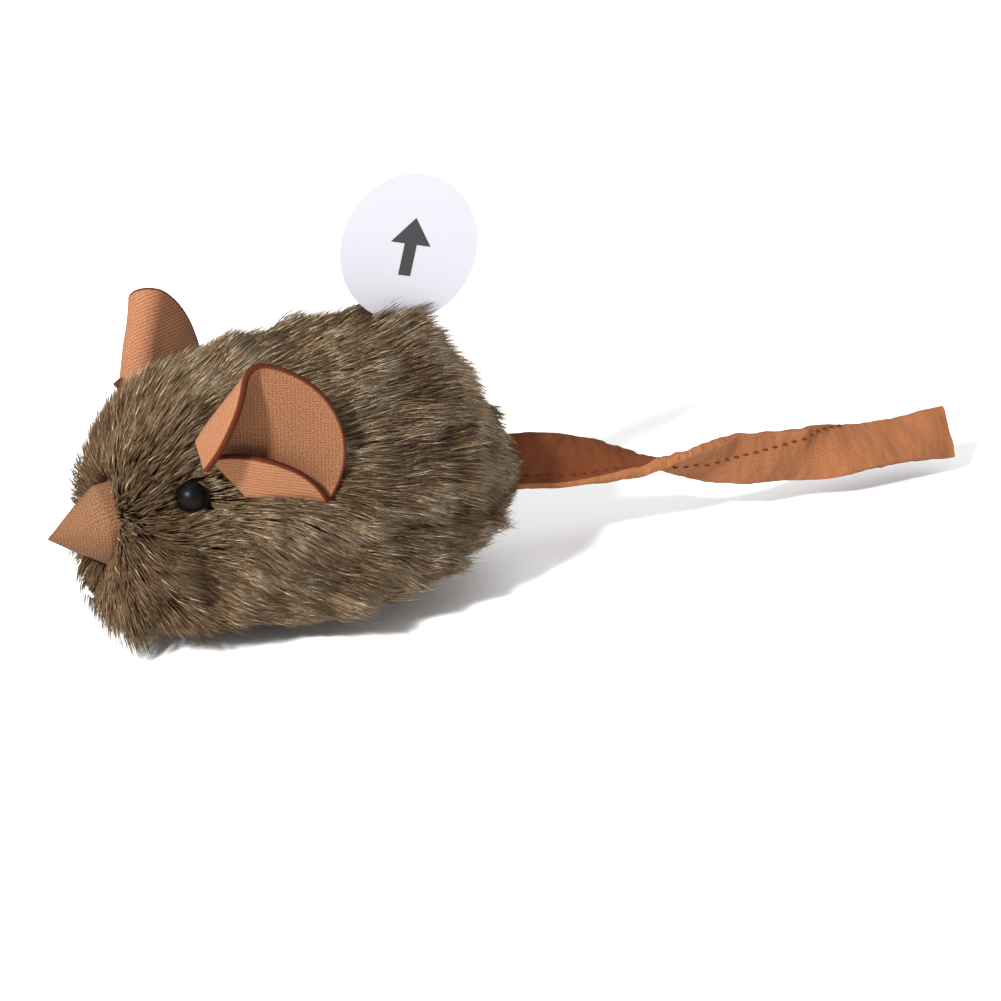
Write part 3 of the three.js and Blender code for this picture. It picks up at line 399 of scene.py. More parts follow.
def suede_cloth(name, dark, light, rib=0.52, course=0.4, depth=0.5, melted_edge=None):
    material, nodes, links, shader = node_material(name)
    flat = nodes.new("ShaderNodeUVMap")
    flat.uv_map = "cloth"
    split = nodes.new("ShaderNodeSeparateXYZ")
    links.new(flat.outputs["UV"], split.inputs["Vector"])
    fuzz = noise_pattern(nodes, links, flat.outputs["UV"], 1.9, 6, 0.7)
    waver = sums(nodes, links, "MULTIPLY", fuzz, FUZZ_WAVER)
    ribs = sine_rib(nodes, links, split.outputs["X"], rib, waver)
    loops = sine_rib(nodes, links, split.outputs["Y"], course, waver)
    knit = sums(nodes, links, "MULTIPLY", ribs, loops)
    grain = noise_pattern(nodes, links, flat.outputs["UV"], 5.5, 3)
    nap = sums(nodes, links, "MULTIPLY", ramp_between(nodes, links, grain, 0.36, 0.60), NAP_SHARE)
    blend = sums(nodes, links, "MULTIPLY_ADD", knit, depth, nap)
    colour = mixed(nodes, links, blend, linear(*dark), linear(*light))
    if melted_edge is not None:
        far = nodes.new("ShaderNodeVectorMath")
        far.operation = "LENGTH"
        links.new(flat.outputs["UV"], far.inputs[0])
        start, end = (melted_edge - inward for inward in BURNT_BAND)
        burnt = ramp_between(nodes, links, far.outputs["Value"], start, end)
        colour = mixed(nodes, links, burnt, colour, BURNT_CLOTH)
    links.new(colour, shader.inputs["Base Color"])
    emboss(nodes, links, shader, blend, 0.55, NAP_DEPTH)
    shader.inputs["Roughness"].default_value = 0.85
    dull(material, 0.15)
    return material


EAR_RADIUS = 14.7
EAR_SUEDE = suede_cloth(
    "ear suede, dotted face", (70, 38, 21), (142, 98, 68), depth=0.34, melted_edge=EAR_RADIUS,
)
EAR_RIBBED = suede_cloth(
    "ear suede, ribbed face", (90, 52, 31), (142, 98, 69),
    rib=60, course=0.5, depth=0.5, melted_edge=EAR_RADIUS,
)
MELTED = hard_finish("melted cloth edge", (66, 28, 14), 0.8, grain=2500, contrast=0.3)
dull(MELTED, 0.05)
NOSE_SUEDE = suede_cloth("nose suede", (66, 40, 24), (126, 89, 63), depth=0.36)
FINE_KNIT = {"rib": 0.34, "course": 0.31}
TAIL_SUEDE = suede_cloth("tail suede, napped face", (104, 62, 36), (148, 96, 61), depth=0.14, **FINE_KNIT)
# The darker face of the tail strip is painted shade: it shows on the twisted part near the rump, which lies
# in shade.
TAIL_SHADED_FACE = suede_cloth("tail suede, face with painted shade", (66, 29, 10), (106, 56, 28), depth=0.2, **FINE_KNIT)

# %% [markdown]
# ## Ears
# Each ear is one round piece of cloth, turned over along a crease at the front and along another at
# the bottom, and sewn to the head where the two creases come together. A flat disc is easy to spin
# from one radius, and its flat coordinates make the UV map before it is folded. Each crease is a bend
# round a small radius, so the cloth keeps its length. A solidify modifier then gives the thickness.

# %% Fold the ears
EAR_STATION = 0.34
EAR_ANGLE = math.radians(33)
EAR_YAWS = {"left": math.radians(20), "right": math.radians(40)}
EAR_LEAN = math.radians(12)
EAR_MIDDLE = Vector((2.88, 1.76)) * MM
EAR_SEAM_DEPTH = -1.3 * MM
EAR_SLANT = Vector((-0.813, -0.582, 0))
FLAP_SEAM_DEPTH = -0.6 * MM
FLAP_HEIGHT = 1.3 * MM
EAR_THICKNESS = 0.85 * MM
FRONT_WAY = Vector((-0.81, 0.586))
LOWER_WAY = Vector((-0.1, -0.995))
LOWER_CREASE = (LOWER_WAY, 4.4 * MM, math.radians(172), 1.3 * MM)
CREASES = {
    "left": [(FRONT_WAY, 4.8 * MM, math.radians(110), 2.5 * MM), LOWER_CREASE],
    "right": [(FRONT_WAY, 0.6 * MM, math.radians(172), 2.2 * MM), LOWER_CREASE],
}  # direction across the crease, its distance from the middle, the angle it turns over and its radius
ear_base = one_point(EAR_STATION, EAR_ANGLE)[0]


def mirror_across(bm):
    """Turn a left-hand piece into a right-hand one."""
    bmesh.ops.scale(bm, vec=(-1, 1, 1), verts=bm.verts)
    bmesh.ops.reverse_faces(bm, faces=bm.faces)


def ear_place(yaw):
    """X to the rear along the ear, Y up and Z out of its hollow, from the base line's middle."""
    rearward = Vector((math.sin(yaw), math.cos(yaw), 0))
    upward = Matrix.Rotation(EAR_LEAN, 3, rearward) @ Vector((0, 0, 1))
    place = Matrix((rearward, upward, rearward.cross(upward))).transposed().to_4x4()
    place.translation = ear_base
    return place


def creased(point, crease):
    across, reach, bend, radius = crease
    past = (point.xy - EAR_MIDDLE).dot(across) - reach
    if past <= 0:
        return point
    arc = min(past / radius, bend)
    straight = past - arc * radius
    depth = radius - point.z
    out = depth * math.sin(arc) + straight * math.cos(arc)
    lift = radius - depth * math.cos(arc) + straight * math.sin(arc)
    moved = point.xy + across * (out - past)
    return Vector((moved.x, moved.y, lift))


def make_ear(word, side):
    bm = bmesh.new()
    steps = 26
    radius = EAR_RADIUS * MM
    line = [bm.verts.new((radius * i / steps, 0, 0)) for i in range(steps + 1)]
    edges = [bm.edges.new(pair) for pair in zip(line, line[1:])]
    bmesh.ops.spin(
        bm, geom=line + edges, cent=(0, 0, 0), axis=(0, 0, 1), angle=2 * math.pi, steps=110, use_merge=True,
    )
    bmesh.ops.remove_doubles(bm, verts=bm.verts, dist=1e-7)
    bmesh.ops.recalc_face_normals(bm, faces=bm.faces)
    flat = bm.loops.layers.uv.new("cloth")
    for face in bm.faces:
        for loop in face.loops:
            loop[flat].uv = loop.vert.co.xy / MM
    for vert in bm.verts:
        point = vert.co + EAR_MIDDLE.to_3d()
        ripple = noise.noise(vert.co * 130) * 0.45 + noise.noise(vert.co * 45 + Vector((3, 1, 2))) * 0.8
        point.z = ripple * MM * 0.6
        for crease in CREASES[word]:
            point = creased(point, crease)
        vert.co = point
    for flap, depth in ((False, EAR_SEAM_DEPTH), (True, FLAP_SEAM_DEPTH)):
        chosen = [face for face in bm.faces if all(vert.co.z > FLAP_HEIGHT for vert in face.verts) == flap]
        parts = {part for face in chosen for part in (face, *face.edges, *face.verts)}
        bmesh.ops.bisect_plane(
            bm, geom=list(parts), plane_co=EAR_SLANT * depth, plane_no=EAR_SLANT, clear_outer=True,
        )
    bmesh.ops.transform(bm, matrix=ear_place(EAR_YAWS[word]), verts=bm.verts)
    if side < 0:
        mirror_across(bm)
    ear = finish_piece(bm, f"ear_cloth_{word}", [EAR_SUEDE, EAR_RIBBED, MELTED])
    wall = ear.modifiers.new("cloth thickness", "SOLIDIFY")
    wall.thickness = EAR_THICKNESS
    wall.offset = 0
    wall.use_even_offset = True
    wall.material_offset = 1
    wall.material_offset_rim = 2
    return ear


for side, word in ((1, "left"), (-1, "right")):
    ear = make_ear(word, side)
    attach(ear, f"ear_{word}")
    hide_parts(f"ear_{word}")
    print(ear.name, "faces:", len(ear.data.polygons))

# %% [markdown]
# ## Nose
# The nose is a corner of the same cloth, folded over so that it makes a blunt right-angled point with
# a ridge along its top. A cone with several rings takes that shape: each ring becomes a rounded
# diamond, which leaves soft ridges above, below and at the sides.

# %% Shape the nose
nose_low, nose_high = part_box("nose")
NOSE_LENGTH = 8.6 * MM
NOSE_TILT = math.radians(8)
NOSE_HALF_WIDTH = (nose_high.x - nose_low.x) / 2
NOSE_HALF_HEIGHT = 6.0 * MM
NOSE_BELLY = 1.12
NOSE_SUNK = 2.6 * MM
NOSE_FLARE = 1.34
NOSE_PINCH = 1.32
NOSE_ROOT = Vector((0, -HALF_LENGTH + 3 * MM, 18.2 * MM))


def ringed_prism(sides, rings):
    """A round prism, one unit in radius and length, cut across into rings, with room for a UV map."""
    bm = bmesh.new()
    bmesh.ops.create_cone(bm, cap_ends=True, segments=sides, radius1=1, radius2=1, depth=1)
    upright = [edge for edge in bm.edges if abs(edge.verts[0].co.z - edge.verts[1].co.z) > 0.5]
    bmesh.ops.subdivide_edges(bm, edges=upright, cuts=rings, use_grid_fill=True)
    return bm, bm.loops.layers.uv.new("cloth")


def signed_power(value, power):
    return math.copysign(abs(value) ** power, value)


def make_nose():
    bm, flat = ringed_prism(48, 30)
    for face in bm.faces:
        angles = [math.atan2(loop.vert.co.y, loop.vert.co.x) for loop in face.loops]
        wraps = max(angles) - min(angles) > math.pi
        for loop, angle in zip(face.loops, angles):
            around = angle + 2 * math.pi if wraps and angle < 0 else angle
            loop[flat].uv = (around * 5.0, (loop.vert.co.z + 0.5) * 11.0)
    for vert in bm.verts:
        share = vert.co.z + 0.5
        angle = math.atan2(vert.co.y, vert.co.x)
        reach = min(max(1 - share, 0) ** 0.92 * NOSE_FLARE, 1)
        side = signed_power(math.cos(angle), NOSE_PINCH)
        rise = signed_power(math.sin(angle), NOSE_PINCH * 0.9)
        length = -NOSE_SUNK + share * (NOSE_LENGTH + NOSE_SUNK)
        rise *= NOSE_BELLY if rise < 0 else 1
        if math.hypot(vert.co.x, vert.co.y) < 1e-6:
            side = rise = 0
        crease = noise.noise(Vector((side * 2, rise * 2, share * 3))) * 0.35 * MM
        vert.co = Vector((
            side * reach * NOSE_HALF_WIDTH + crease * 0.6,
            rise * reach * NOSE_HALF_HEIGHT + crease,
            length,
        ))
    lean = Matrix.Translation(NOSE_ROOT) @ Matrix.Rotation(math.pi / 2 + NOSE_TILT, 4, "X")
    bmesh.ops.transform(bm, matrix=lean, verts=bm.verts)
    bmesh.ops.remove_doubles(bm, verts=bm.verts, dist=1e-5)
    bmesh.ops.recalc_face_normals(bm, faces=bm.faces)
    return finish_piece(bm, "nose_cloth", [NOSE_SUEDE])


nose = make_nose()
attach(nose, "body")
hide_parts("nose")
print("nose faces:", len(nose.data.polygons))

# %% [markdown]
# ## Eyes
# A safety eye is a glossy black bead on a stem that goes through the cloth to a washer. The bead is a
# sphere, a little flattened where it sits. Its stem is one cylinder inwards.

# %% Make the eyes
EYE_STATION = 0.292
EYE_ANGLE = math.radians(25)
EYE_RADIUS = 2.25 * MM
EYE_SINK = 1.3 * MM
BEAD = hard_finish("black bead", (7, 6, 5), 0.36, grain=400, contrast=0.3, bump=0.02)
dull(BEAD, 0.07)
eye_spot, eye_out = one_point(EYE_STATION, EYE_ANGLE)[:2]
eye_centre = eye_spot - eye_out * EYE_SINK


def make_eye(name, side):
    bm = bmesh.new()
    bmesh.ops.create_uvsphere(bm, u_segments=40, v_segments=28, radius=EYE_RADIUS)
    for vert in bm.verts:
        if vert.co.z > 0:
            vert.co.z *= 0.92
    stem = bmesh.ops.create_cone(
        bm, cap_ends=True, segments=20, radius1=0.8 * MM, radius2=0.8 * MM, depth=6 * MM,
        matrix=Matrix.Translation((0, 0, -4.1 * MM)),
    )
    bmesh.ops.bevel(
        bm, geom=list({edge for vert in stem["verts"] for edge in vert.link_edges if len(edge.link_faces) == 2
                       and abs(edge.verts[0].co.z - edge.verts[1].co.z) < 1e-6}),
        offset=0.15 * MM, segments=2, profile=0.5, affect="EDGES", material=-1,
    )
    place = eye_out.to_track_quat("Z", "Y").to_matrix().to_4x4()
    place.translation = eye_centre
    bmesh.ops.transform(bm, matrix=place, verts=bm.verts)
    if side < 0:
        mirror_across(bm)
    return finish_piece(bm, name, [BEAD])


for side, word in ((1, "left"), (-1, "right")):
    eye = make_eye(f"eye_bead_{word}", side)
    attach(eye, "body")
    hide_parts(f"eye_{word}")

# %% [markdown]
# ## Tail
# The tail is a strip of suede folded along its length, stitched down one side and given a half turn
# before it was sewn into the rump. A long prism makes it: its section becomes a flat band with
# rounded edges and the lip of the folded-over layer, and each ring is set across the tail's middle
# line and turned a little more than the last. It is made as two pieces, a short near one and a longer far
# one.

# %% The tail's middle line and its turn
TAIL_ROUTE = np.array([
    [0, -10, 1.0],
    [0, 0, 0],
    [-0.1, 10.5, -1.7],
    [-0.7, 22.9, -4.0],
    [-1.6, 38.2, -6.4],
    [-3.8, 62.5, -8.9],
    [-6.0, 84.9, -9.8],
]) * MM
TAIL_SPLIT = 0.21
TAIL_WIDTH = 9.0 * MM
TAIL_THICKNESS = 1.7 * MM
tail_root = one_point(1.0, 0.0)[0]


def smooth_line(points, count=500):
    """Points on a smooth curve through the given ones, evenly spaced along its length."""
    knots = np.concatenate([[0], np.cumsum(np.linalg.norm(np.diff(points, axis=0), axis=1))])
    slopes = np.gradient(points, knots, axis=0)
    spots = np.linspace(0, knots[-1], count)
    start = np.clip(np.searchsorted(knots, spots, side="right") - 1, 0, len(knots) - 2)
    gap = (knots[start + 1] - knots[start])[:, None]
    t = ((spots - knots[start])[:, None]) / gap
    here, there = points[start], points[start + 1]
    out_of, into = slopes[start] * gap, slopes[start + 1] * gap
    curve = (
        (2 * t**3 - 3 * t**2 + 1) * here + (t**3 - 2 * t**2 + t) * out_of
        + (-2 * t**3 + 3 * t**2) * there + (t**3 - t**2) * into
    )
    run = np.concatenate([[0], np.cumsum(np.linalg.norm(np.diff(curve, axis=0), axis=1))])
    even = np.linspace(0, run[-1], count)
    return np.stack([np.interp(even, run, curve[:, k]) for k in range(3)], 1), run[-1]


tail_line, tail_whole = smooth_line(TAIL_ROUTE + np.array(tail_root))
TAIL_FREE_FROM = 10.05 * MM / tail_whole
tail_free_length = tail_whole * (1 - TAIL_FREE_FROM)
print("tail's free length:", round(tail_free_length, 4))


def tail_turn(share):
    half = 180 * float(smooth_step(share, 0.0, 0.56))
    roll = 52 * float(smooth_step(share, 0.62, 0.8))
    return math.radians(half + roll - 18 * float(smooth_step(share, 0.82, 1)))


def tail_frame(share):
    """The middle line's point, the way across the band's face and the way along its width."""
    spot = (TAIL_FREE_FROM + share * (1 - TAIL_FREE_FROM)) * (len(tail_line) - 1)
    low = int(min(max(math.floor(spot), 0), len(tail_line) - 2))
    middle = Vector(tail_line[low] + (tail_line[low + 1] - tail_line[low]) * (spot - low))
    ahead = Vector(tail_line[low + 1] - tail_line[low]).normalized()
    side = ahead.cross(Vector((0, 0, 1))).normalized()
    rise = side.cross(ahead).normalized()
    turn = tail_turn(share)
    face = side * math.cos(turn) + rise * math.sin(turn)
    width = rise * math.cos(turn) - side * math.sin(turn)
    return middle, face, width, ahead


def tail_width(share):
    waist = 0.16 * math.exp(-((share - 0.22) / 0.11) ** 2)
    return TAIL_WIDTH / 2 * (0.97 - waist + 0.04 * math.sin(share * 19 + 1))


def tail_wrinkle(across, thick, share):
    """How far the cloth's creases lift its face, so that the stitches can follow them."""
    seed = Vector((across * 1.1, thick * 0.5, share * 26))
    return noise.noise(seed) * 0.55 * MM + noise.noise(seed * 2.7) * 0.2 * MM


def make_tail(name, start, end, rings):
    bm, flat = ringed_prism(40, rings)
    for face in bm.faces:
        for loop in face.loops:
            share = start + (loop.vert.co.z + 0.5) * (end - start)
            loop[flat].uv = (loop.vert.co.x * 5.2, share * tail_free_length / MM)
    outer_side = {vert for vert in bm.verts if vert.co.y > -1e-4 and vert.co.x > -0.72}
    for vert in bm.verts:
        share = start + (vert.co.z + 0.5) * (end - start)
        angle = math.atan2(vert.co.y, vert.co.x)
        middle, face, width, _ = tail_frame(share)
        across = signed_power(math.cos(angle), 0.72)
        thick = signed_power(math.sin(angle), 0.5)
        lip = 0.5 * MM * float(smooth_step(-across, 0.66, 0.74)) * (1 if thick > 0.3 else 0)
        wrinkle = tail_wrinkle(across, thick, share)
        sag = 0.5 * MM * math.sin(share * 31 + across * 1.5)
        vert.co = (
            middle
            + width * (across * tail_width(share))
            + face * (thick * TAIL_THICKNESS / 2 + lip + wrinkle + sag * 0.5)
        )
    bmesh.ops.recalc_face_normals(bm, faces=bm.faces)
    for face in bm.faces:
        if len(face.verts) > 4:
            for edge in face.edges:
                edge.smooth = False
        # Faces on one side of the band take the darker suede: painted shade for the part near the rump.
        face.material_index = int(all(vert in outer_side for vert in face.verts))
    return finish_piece(bm, name, [TAIL_SUEDE, TAIL_SHADED_FACE])


tail_near = make_tail("tail_cloth_near", -0.11, TAIL_SPLIT, 90)
tail_far = make_tail("tail_cloth_far", TAIL_SPLIT, 1.0, 200)

# %% [markdown]
# Stitches hold the folded strip together. Each one is a short thread that dips into the cloth at its
# two ends, so one small capsule is enough, laid along a row that wanders from the middle of the band
# to its edge, as a seam on a twisted strip does.

# %% Sew the tail's seam
THREAD = hard_finish("brown thread", (80, 42, 22), 0.85, grain=3000, contrast=0.3, bump=0.4)
dull(THREAD, 0.05)
STITCH = 1.15 * MM
STITCH_GAP = 0.75 * MM
STITCH_RADIUS = 0.19 * MM


def make_stitches(name, start, end, height_sign, row_from, row_to):
    bm = bmesh.new()
    pitch = (STITCH + STITCH_GAP) / tail_free_length
    share = start
    while share < end:
        made = bmesh.ops.create_uvsphere(bm, u_segments=8, v_segments=6, radius=1)
        row = row_from + (row_to - row_from) * float(smooth_step(share, 0.36, 0.76))
        middle, face, width, ahead = tail_frame(share)
        place = middle + width * (row * tail_width(share)) + face * (height_sign * TAIL_THICKNESS * 0.52)
        place += face * tail_wrinkle(row, height_sign, share)
        place += face * (0.25 * MM * math.sin(share * 31 + row * 1.5))
        turn = Matrix((width, face, ahead)).transposed()
        for vert in made["verts"]:
            local = Vector((vert.co.x * STITCH_RADIUS, vert.co.y * STITCH_RADIUS, vert.co.z * STITCH / 2))
            vert.co = place + turn @ local
        share += pitch
    return finish_piece(bm, name, [THREAD])


tail_stitches = make_stitches("tail_stitches", 0.34, 0.75, -1, -0.05, -0.9)
seam_stitches = make_stitches("tail_seam_stitches", 0.0, TAIL_SPLIT, 1, -0.52, -0.52)
split_point = tail_frame(TAIL_SPLIT)[0]
bend_end = tail_frame(TAIL_SPLIT + 0.1)[0]
for piece in (tail_near, seam_stitches):
    tuple(tail_frame(0.09)[0])
    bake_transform(piece)
for piece in (tail_far, tail_stitches):
    tuple(split_point)
    tuple(bend_end)
    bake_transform(piece)
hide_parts("tail_base", "tail_seam")
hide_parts("tail")

# %% [markdown]
# ## Pull tab
# The tab is one piece of white film with a round head. Its outline in the frame is right, so it keeps
# that shape and gets a soft white plastic finish. A black arrow is printed on each side of the head to
# say which way to pull. Print is a very thin layer, so each arrow is an outline drawn with a few
# points, filled, and given a few hundredths of a millimetre of thickness.

# %% Finish the film and print the arrow
FILM = hard_finish("white film", (158, 157, 163), 0.6, grain=60, contrast=0.015, bump=0.01)
INK = hard_finish("black ink", (22, 22, 24), 0.5, grain=1500, contrast=0.2)
dull(FILM, 0.1)
repaint("pull_tab", FILM)
TAB_LEAN = math.radians(14)
TAB_RADIUS = 11.2 * MM
tab_low, tab_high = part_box("pull_tab")
pull_way = Vector((0, math.sin(TAB_LEAN), math.cos(TAB_LEAN)))
back_way = Vector((0, math.cos(TAB_LEAN), -math.sin(TAB_LEAN)))
tab_centre = Vector((0, tab_high.y - TAB_RADIUS, tab_high.z - TAB_RADIUS))
FILM_HALF = (tab_high.x - tab_low.x) / 2
INK_GAP = 0.02 * MM
INK_DEPTH = 0.03 * MM
ARROW = [(-1.0, -4.2), (1.0, -4.2), (1.0, 0.6), (3.3, 0.6), (0, 4.6), (-3.3, 0.6), (-1.0, 0.6)]


def printed(bm, outline, side):
    start = tab_centre + Vector((side * (FILM_HALF + INK_GAP), 0, 0))
    verts = [bm.verts.new(start + back_way * (u * MM) + pull_way * (v * MM)) for u, v in outline]
    face = bm.faces.new(verts)
    grown = bmesh.ops.extrude_face_region(bm, geom=[face])
    moved = [item for item in grown["geom"] if isinstance(item, bmesh.types.BMVert)]
    bmesh.ops.translate(bm, vec=(side * INK_DEPTH, 0, 0), verts=moved)


bm = bmesh.new()
for side in (1, -1):
    printed(bm, ARROW, side)
bmesh.ops.recalc_face_normals(bm, faces=bm.faces)
tab_print = finish_piece(bm, "tab_print", [INK], smooth=False)
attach(tab_print, "pull_tab")

# %% [markdown]
# ## Fur cloth
# The body is three panels of knitted backing with a long pile, sewn together along the back and
# around the belly and stretched over the filling. The backing is nearly hidden, so it only has to be
# dark, closed and in the right place. A sphere is drawn onto the body's form, set in by the pile's
# depth, cut into the three panels along their seams and given its thickness by a solidify modifier.

# %% Cut and lay the backing
BELLY_SEAM = 5.2 * MM
PANEL_GAP = 0.3 * MM
BACKING = hard_finish("knitted backing", (52, 36, 22), 0.95, grain=1400, contrast=0.35, bump=0.6)


def form_mesh(inset, around=144, along=96):
    """A closed mesh of the body's form. The sphere's poles become the face and the rump."""
    bm = bmesh.new()
    bmesh.ops.create_uvsphere(bm, u_segments=around, v_segments=along, radius=1)
    sphere = np.array([vert.co for vert in bm.verts])
    station = 1 - np.arccos(np.clip(sphere[:, 2], -1, 1)) / math.pi
    turn = np.arctan2(-sphere[:, 1], sphere[:, 0])
    place = body_surface(station, turn, inset)
    for vert, point in zip(bm.verts, place):
        vert.co = point
    bmesh.ops.recalc_face_normals(bm, faces=bm.faces)
    return bm


def keep_side(bm, place, normal):
    """Cut the mesh by a plane and keep what lies behind it."""
    bmesh.ops.bisect_plane(
        bm, geom=bm.verts[:] + bm.edges[:] + bm.faces[:], plane_co=place, plane_no=normal, clear_outer=True,
    )


panels = []
for word, side in (("left", 1), ("right", -1)):
    bm = form_mesh(PILE_DEPTH)
    keep_side(bm, (side * PANEL_GAP / 2, 0, 0), (-side, 0, 0))
    keep_side(bm, (0, 0, BELLY_SEAM + PANEL_GAP), (0, 0, -1))
    panels.append((finish_piece(bm, f"fur_cloth_{word}", [BACKING]), f"fur_side_{word}", (0.074, 0.052)))
bm = form_mesh(PILE_DEPTH)
keep_side(bm, (0, 0, BELLY_SEAM), (0, 0, 1))
panels.append((finish_piece(bm, "fur_cloth_belly", [BACKING]), "fur_belly", (0.044, 0.025)))
for panel, node, flat in panels:
    wall = panel.modifiers.new("cloth thickness", "SOLIDIFY")
    wall.thickness = CLOTH
    wall.offset = -1
    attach(panel, "body")
    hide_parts(node)
    area = sum(face.area for face in panel.data.polygons)
    print(panel.name, "cloth area in square millimetres:", round(area / MM**2))

# %% [markdown]
# ## Filling
# Loose polyester fibre fills the bag around the sound box. It has no shape of its own: outside it
# follows the cloth and inside it keeps clear of the box. One lumpy lower half lies under the box's
# middle, and above it two halves lie on either side of the film strip. A half starts as a sphere: its
# outer side is drawn onto the cloth's inside, and its other side is pressed flat with a hollow in it.

# %% Pack the filling around the sound box
FIBRE = hard_finish("polyester fibre", (226, 223, 215), 0.95, grain=700, contrast=0.1, bump=0.8)
box_up = pull_way
box_rear = back_way
box_nodes = [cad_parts[name] for name in ("box_base", "box_lid")]
box_places = [node.matrix_world @ vert.co for node in box_nodes for vert in node.data.vertices]
box_shares = [(place.x, place.dot(box_rear), place.dot(box_up)) for place in box_places]
box_low, box_high = (Vector(ends) for ends in (map(min, zip(*box_shares)), map(max, zip(*box_shares))))
ROOM = 0.9 * MM
inner_form = form_mesh(PILE_DEPTH + CLOTH + 0.9 * MM, 96, 64)
inner_tree = BVHTree.FromBMesh(inner_form)
middle_height = (box_low.z + box_high.z) / 2
centre_rear = (box_low.y + box_high.y) / 2 - 1 * MM
fibre_centre = box_rear * centre_rear + box_up * middle_height


def fibre_half(name, up):
    bm = bmesh.new()
    bmesh.ops.create_uvsphere(bm, u_segments=120, v_segments=90, radius=1)
    way_up = box_up * up
    for vert in bm.verts:
        flat_way = Vector((1, 0, 0)) * vert.co.x + box_rear * vert.co.y
        if vert.co.z > -1e-4:
            out = flat_way + way_up * max(vert.co.z, 0)
            hit = inner_tree.ray_cast(fibre_centre, out.normalized())[0]
            lump = noise.noise(hit * 160) * 0.5 + noise.noise(hit * 420) * 0.25
            place = hit - out.normalized() * (0.5 + lump) * MM
        else:
            hit = inner_tree.ray_cast(fibre_centre, (flat_way + box_rear * 1e-6).normalized())[0]
            share = math.acos(min(-vert.co.z, 1)) / (math.pi / 2)
            place = fibre_centre + (hit - fibre_centre) * share * 0.985
            x, rear = place.x, place.dot(box_rear)
            in_x = min(x - box_low.x, box_high.x - x)
            in_y = min(rear - box_low.y, box_high.y - rear)
            inside = smooth_step(min(in_x, in_y), -2.2 * MM, -ROOM)
            reach = (box_high.z - middle_height) + ROOM
            place = place + way_up * (reach * float(inside))
        vert.co = place + way_up * 0.2 * MM
    bmesh.ops.recalc_face_normals(bm, faces=bm.faces)
    return bm


def trim_closed(bm, place, normal):
    """Cut a closed mesh by a plane and close it again."""
    cut = bmesh.ops.bisect_plane(
        bm, geom=bm.verts[:] + bm.edges[:] + bm.faces[:], plane_co=place, plane_no=normal, clear_outer=True,
    )
    rim = [item for item in cut["geom_cut"] if isinstance(item, bmesh.types.BMEdge)]
    bmesh.ops.triangle_fill(bm, edges=rim, use_beauty=True)
    bmesh.ops.recalc_face_normals(bm, faces=bm.faces)


fillings = [(finish_piece(fibre_half("fibre_lower", -1), "fibre_lower", [FIBRE]), ["stuffing_lower"])]
for word, side in (("left", 1), ("right", -1)):
    bm = fibre_half(f"fibre_upper_{word}", 1)
    trim_closed(bm, (side * 0.6 * MM, 0, 0), (-side, 0, 0))
    replaced = ["stuffing_upper"] if side > 0 else []
    fillings.append((finish_piece(bm, f"fibre_upper_{word}", [FIBRE]), replaced))
inner_form.free()
for piece, nodes in fillings:
    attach(piece, "body")
    if nodes:
        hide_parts(*nodes)
    print(piece.name, "faces:", len(piece.data.polygons))

# %% [markdown]
# ## The lie of the pile
# Long pile is combed from the nose to the tail and hangs a little on the sides. It stands up around
# whatever comes through it, and it lies in locks: the tips of neighbouring hairs draw together. The
# same numbers describe it everywhere, so it is worked out for all the hairs at once with arrays.

# %% Choose where the hairs stand and which way they lie
rng = np.random.default_rng(20)
FULL_HAIR_COUNT = 104000
HAIR_COUNT = FULL_HAIR_COUNT
HAIRS_PER_PIECE = 12000
HAIR_LENGTH = 9.2 * MM


def scatter(count):
    """Stations and turns spread evenly over the form's surface."""
    station = rng.uniform(0, 1, count * 6)
    turn = rng.uniform(-math.pi, math.pi, count * 6)
    step = 1e-3
    ahead = body_surface(np.minimum(station + step, 1), turn, PILE_DEPTH)
    along = ahead - body_surface(np.maximum(station - step, 0), turn, PILE_DEPTH)
    around = body_surface(station, turn + step, PILE_DEPTH) - body_surface(station, turn - step, PILE_DEPTH)
    area = np.linalg.norm(np.cross(along, around), axis=1)
    kept = rng.uniform(0, np.quantile(area, 0.995), len(area)) < area
    return station[kept][:count], turn[kept][:count]


def wave(place, scale, seed):
    """A smooth random number from -1 to 1 that changes over about one scale."""
    total = np.zeros(len(place))
    waves = np.random.default_rng(seed)
    for _ in range(7):
        way = waves.normal(size=3)
        way *= waves.uniform(0.6, 1.5) / (np.linalg.norm(way) * scale)
        total += np.sin(place @ way * 2 * math.pi + waves.uniform(0, 2 * math.pi))
    return total / 2.6


tab_exit = np.array(one_point(0.633, math.pi / 2)[0])
station, turn = scatter(HAIR_COUNT)
root, normal, rearward = surface_frame(station, turn, PILE_DEPTH)
root_count = len(root)
print("hairs placed:", root_count)

down = np.array([0, 0, -1.0]) - normal * -normal[:, 2:3]
from_nose = root - np.array([0, -HALF_LENGTH + 3 * MM, 18 * MM])
out_of_nose = unit(from_nose - normal * (from_nose * normal).sum(1, keepdims=True))
near_face = 1 - smooth_step(root[:, 1], -31 * MM, -20 * MM)[:, None]
at_rump = smooth_step(root[:, 1], 6 * MM, 26 * MM)
sidedness = np.clip(1 - np.abs(normal[:, 2:3]), 0, 1)
comb = rearward * 1.0 + down * (0.32 * sidedness) + out_of_nose * near_face * 0.18
sway = np.cross(normal, comb)
comb += sway * (0.20 * wave(root, 12 * MM, 1) + 0.14 * wave(root, 4 * MM, 2))[:, None]
comb += sway * rng.normal(0, 0.12, root_count)[:, None]
comb = unit(comb - normal * (comb * normal).sum(1, keepdims=True))

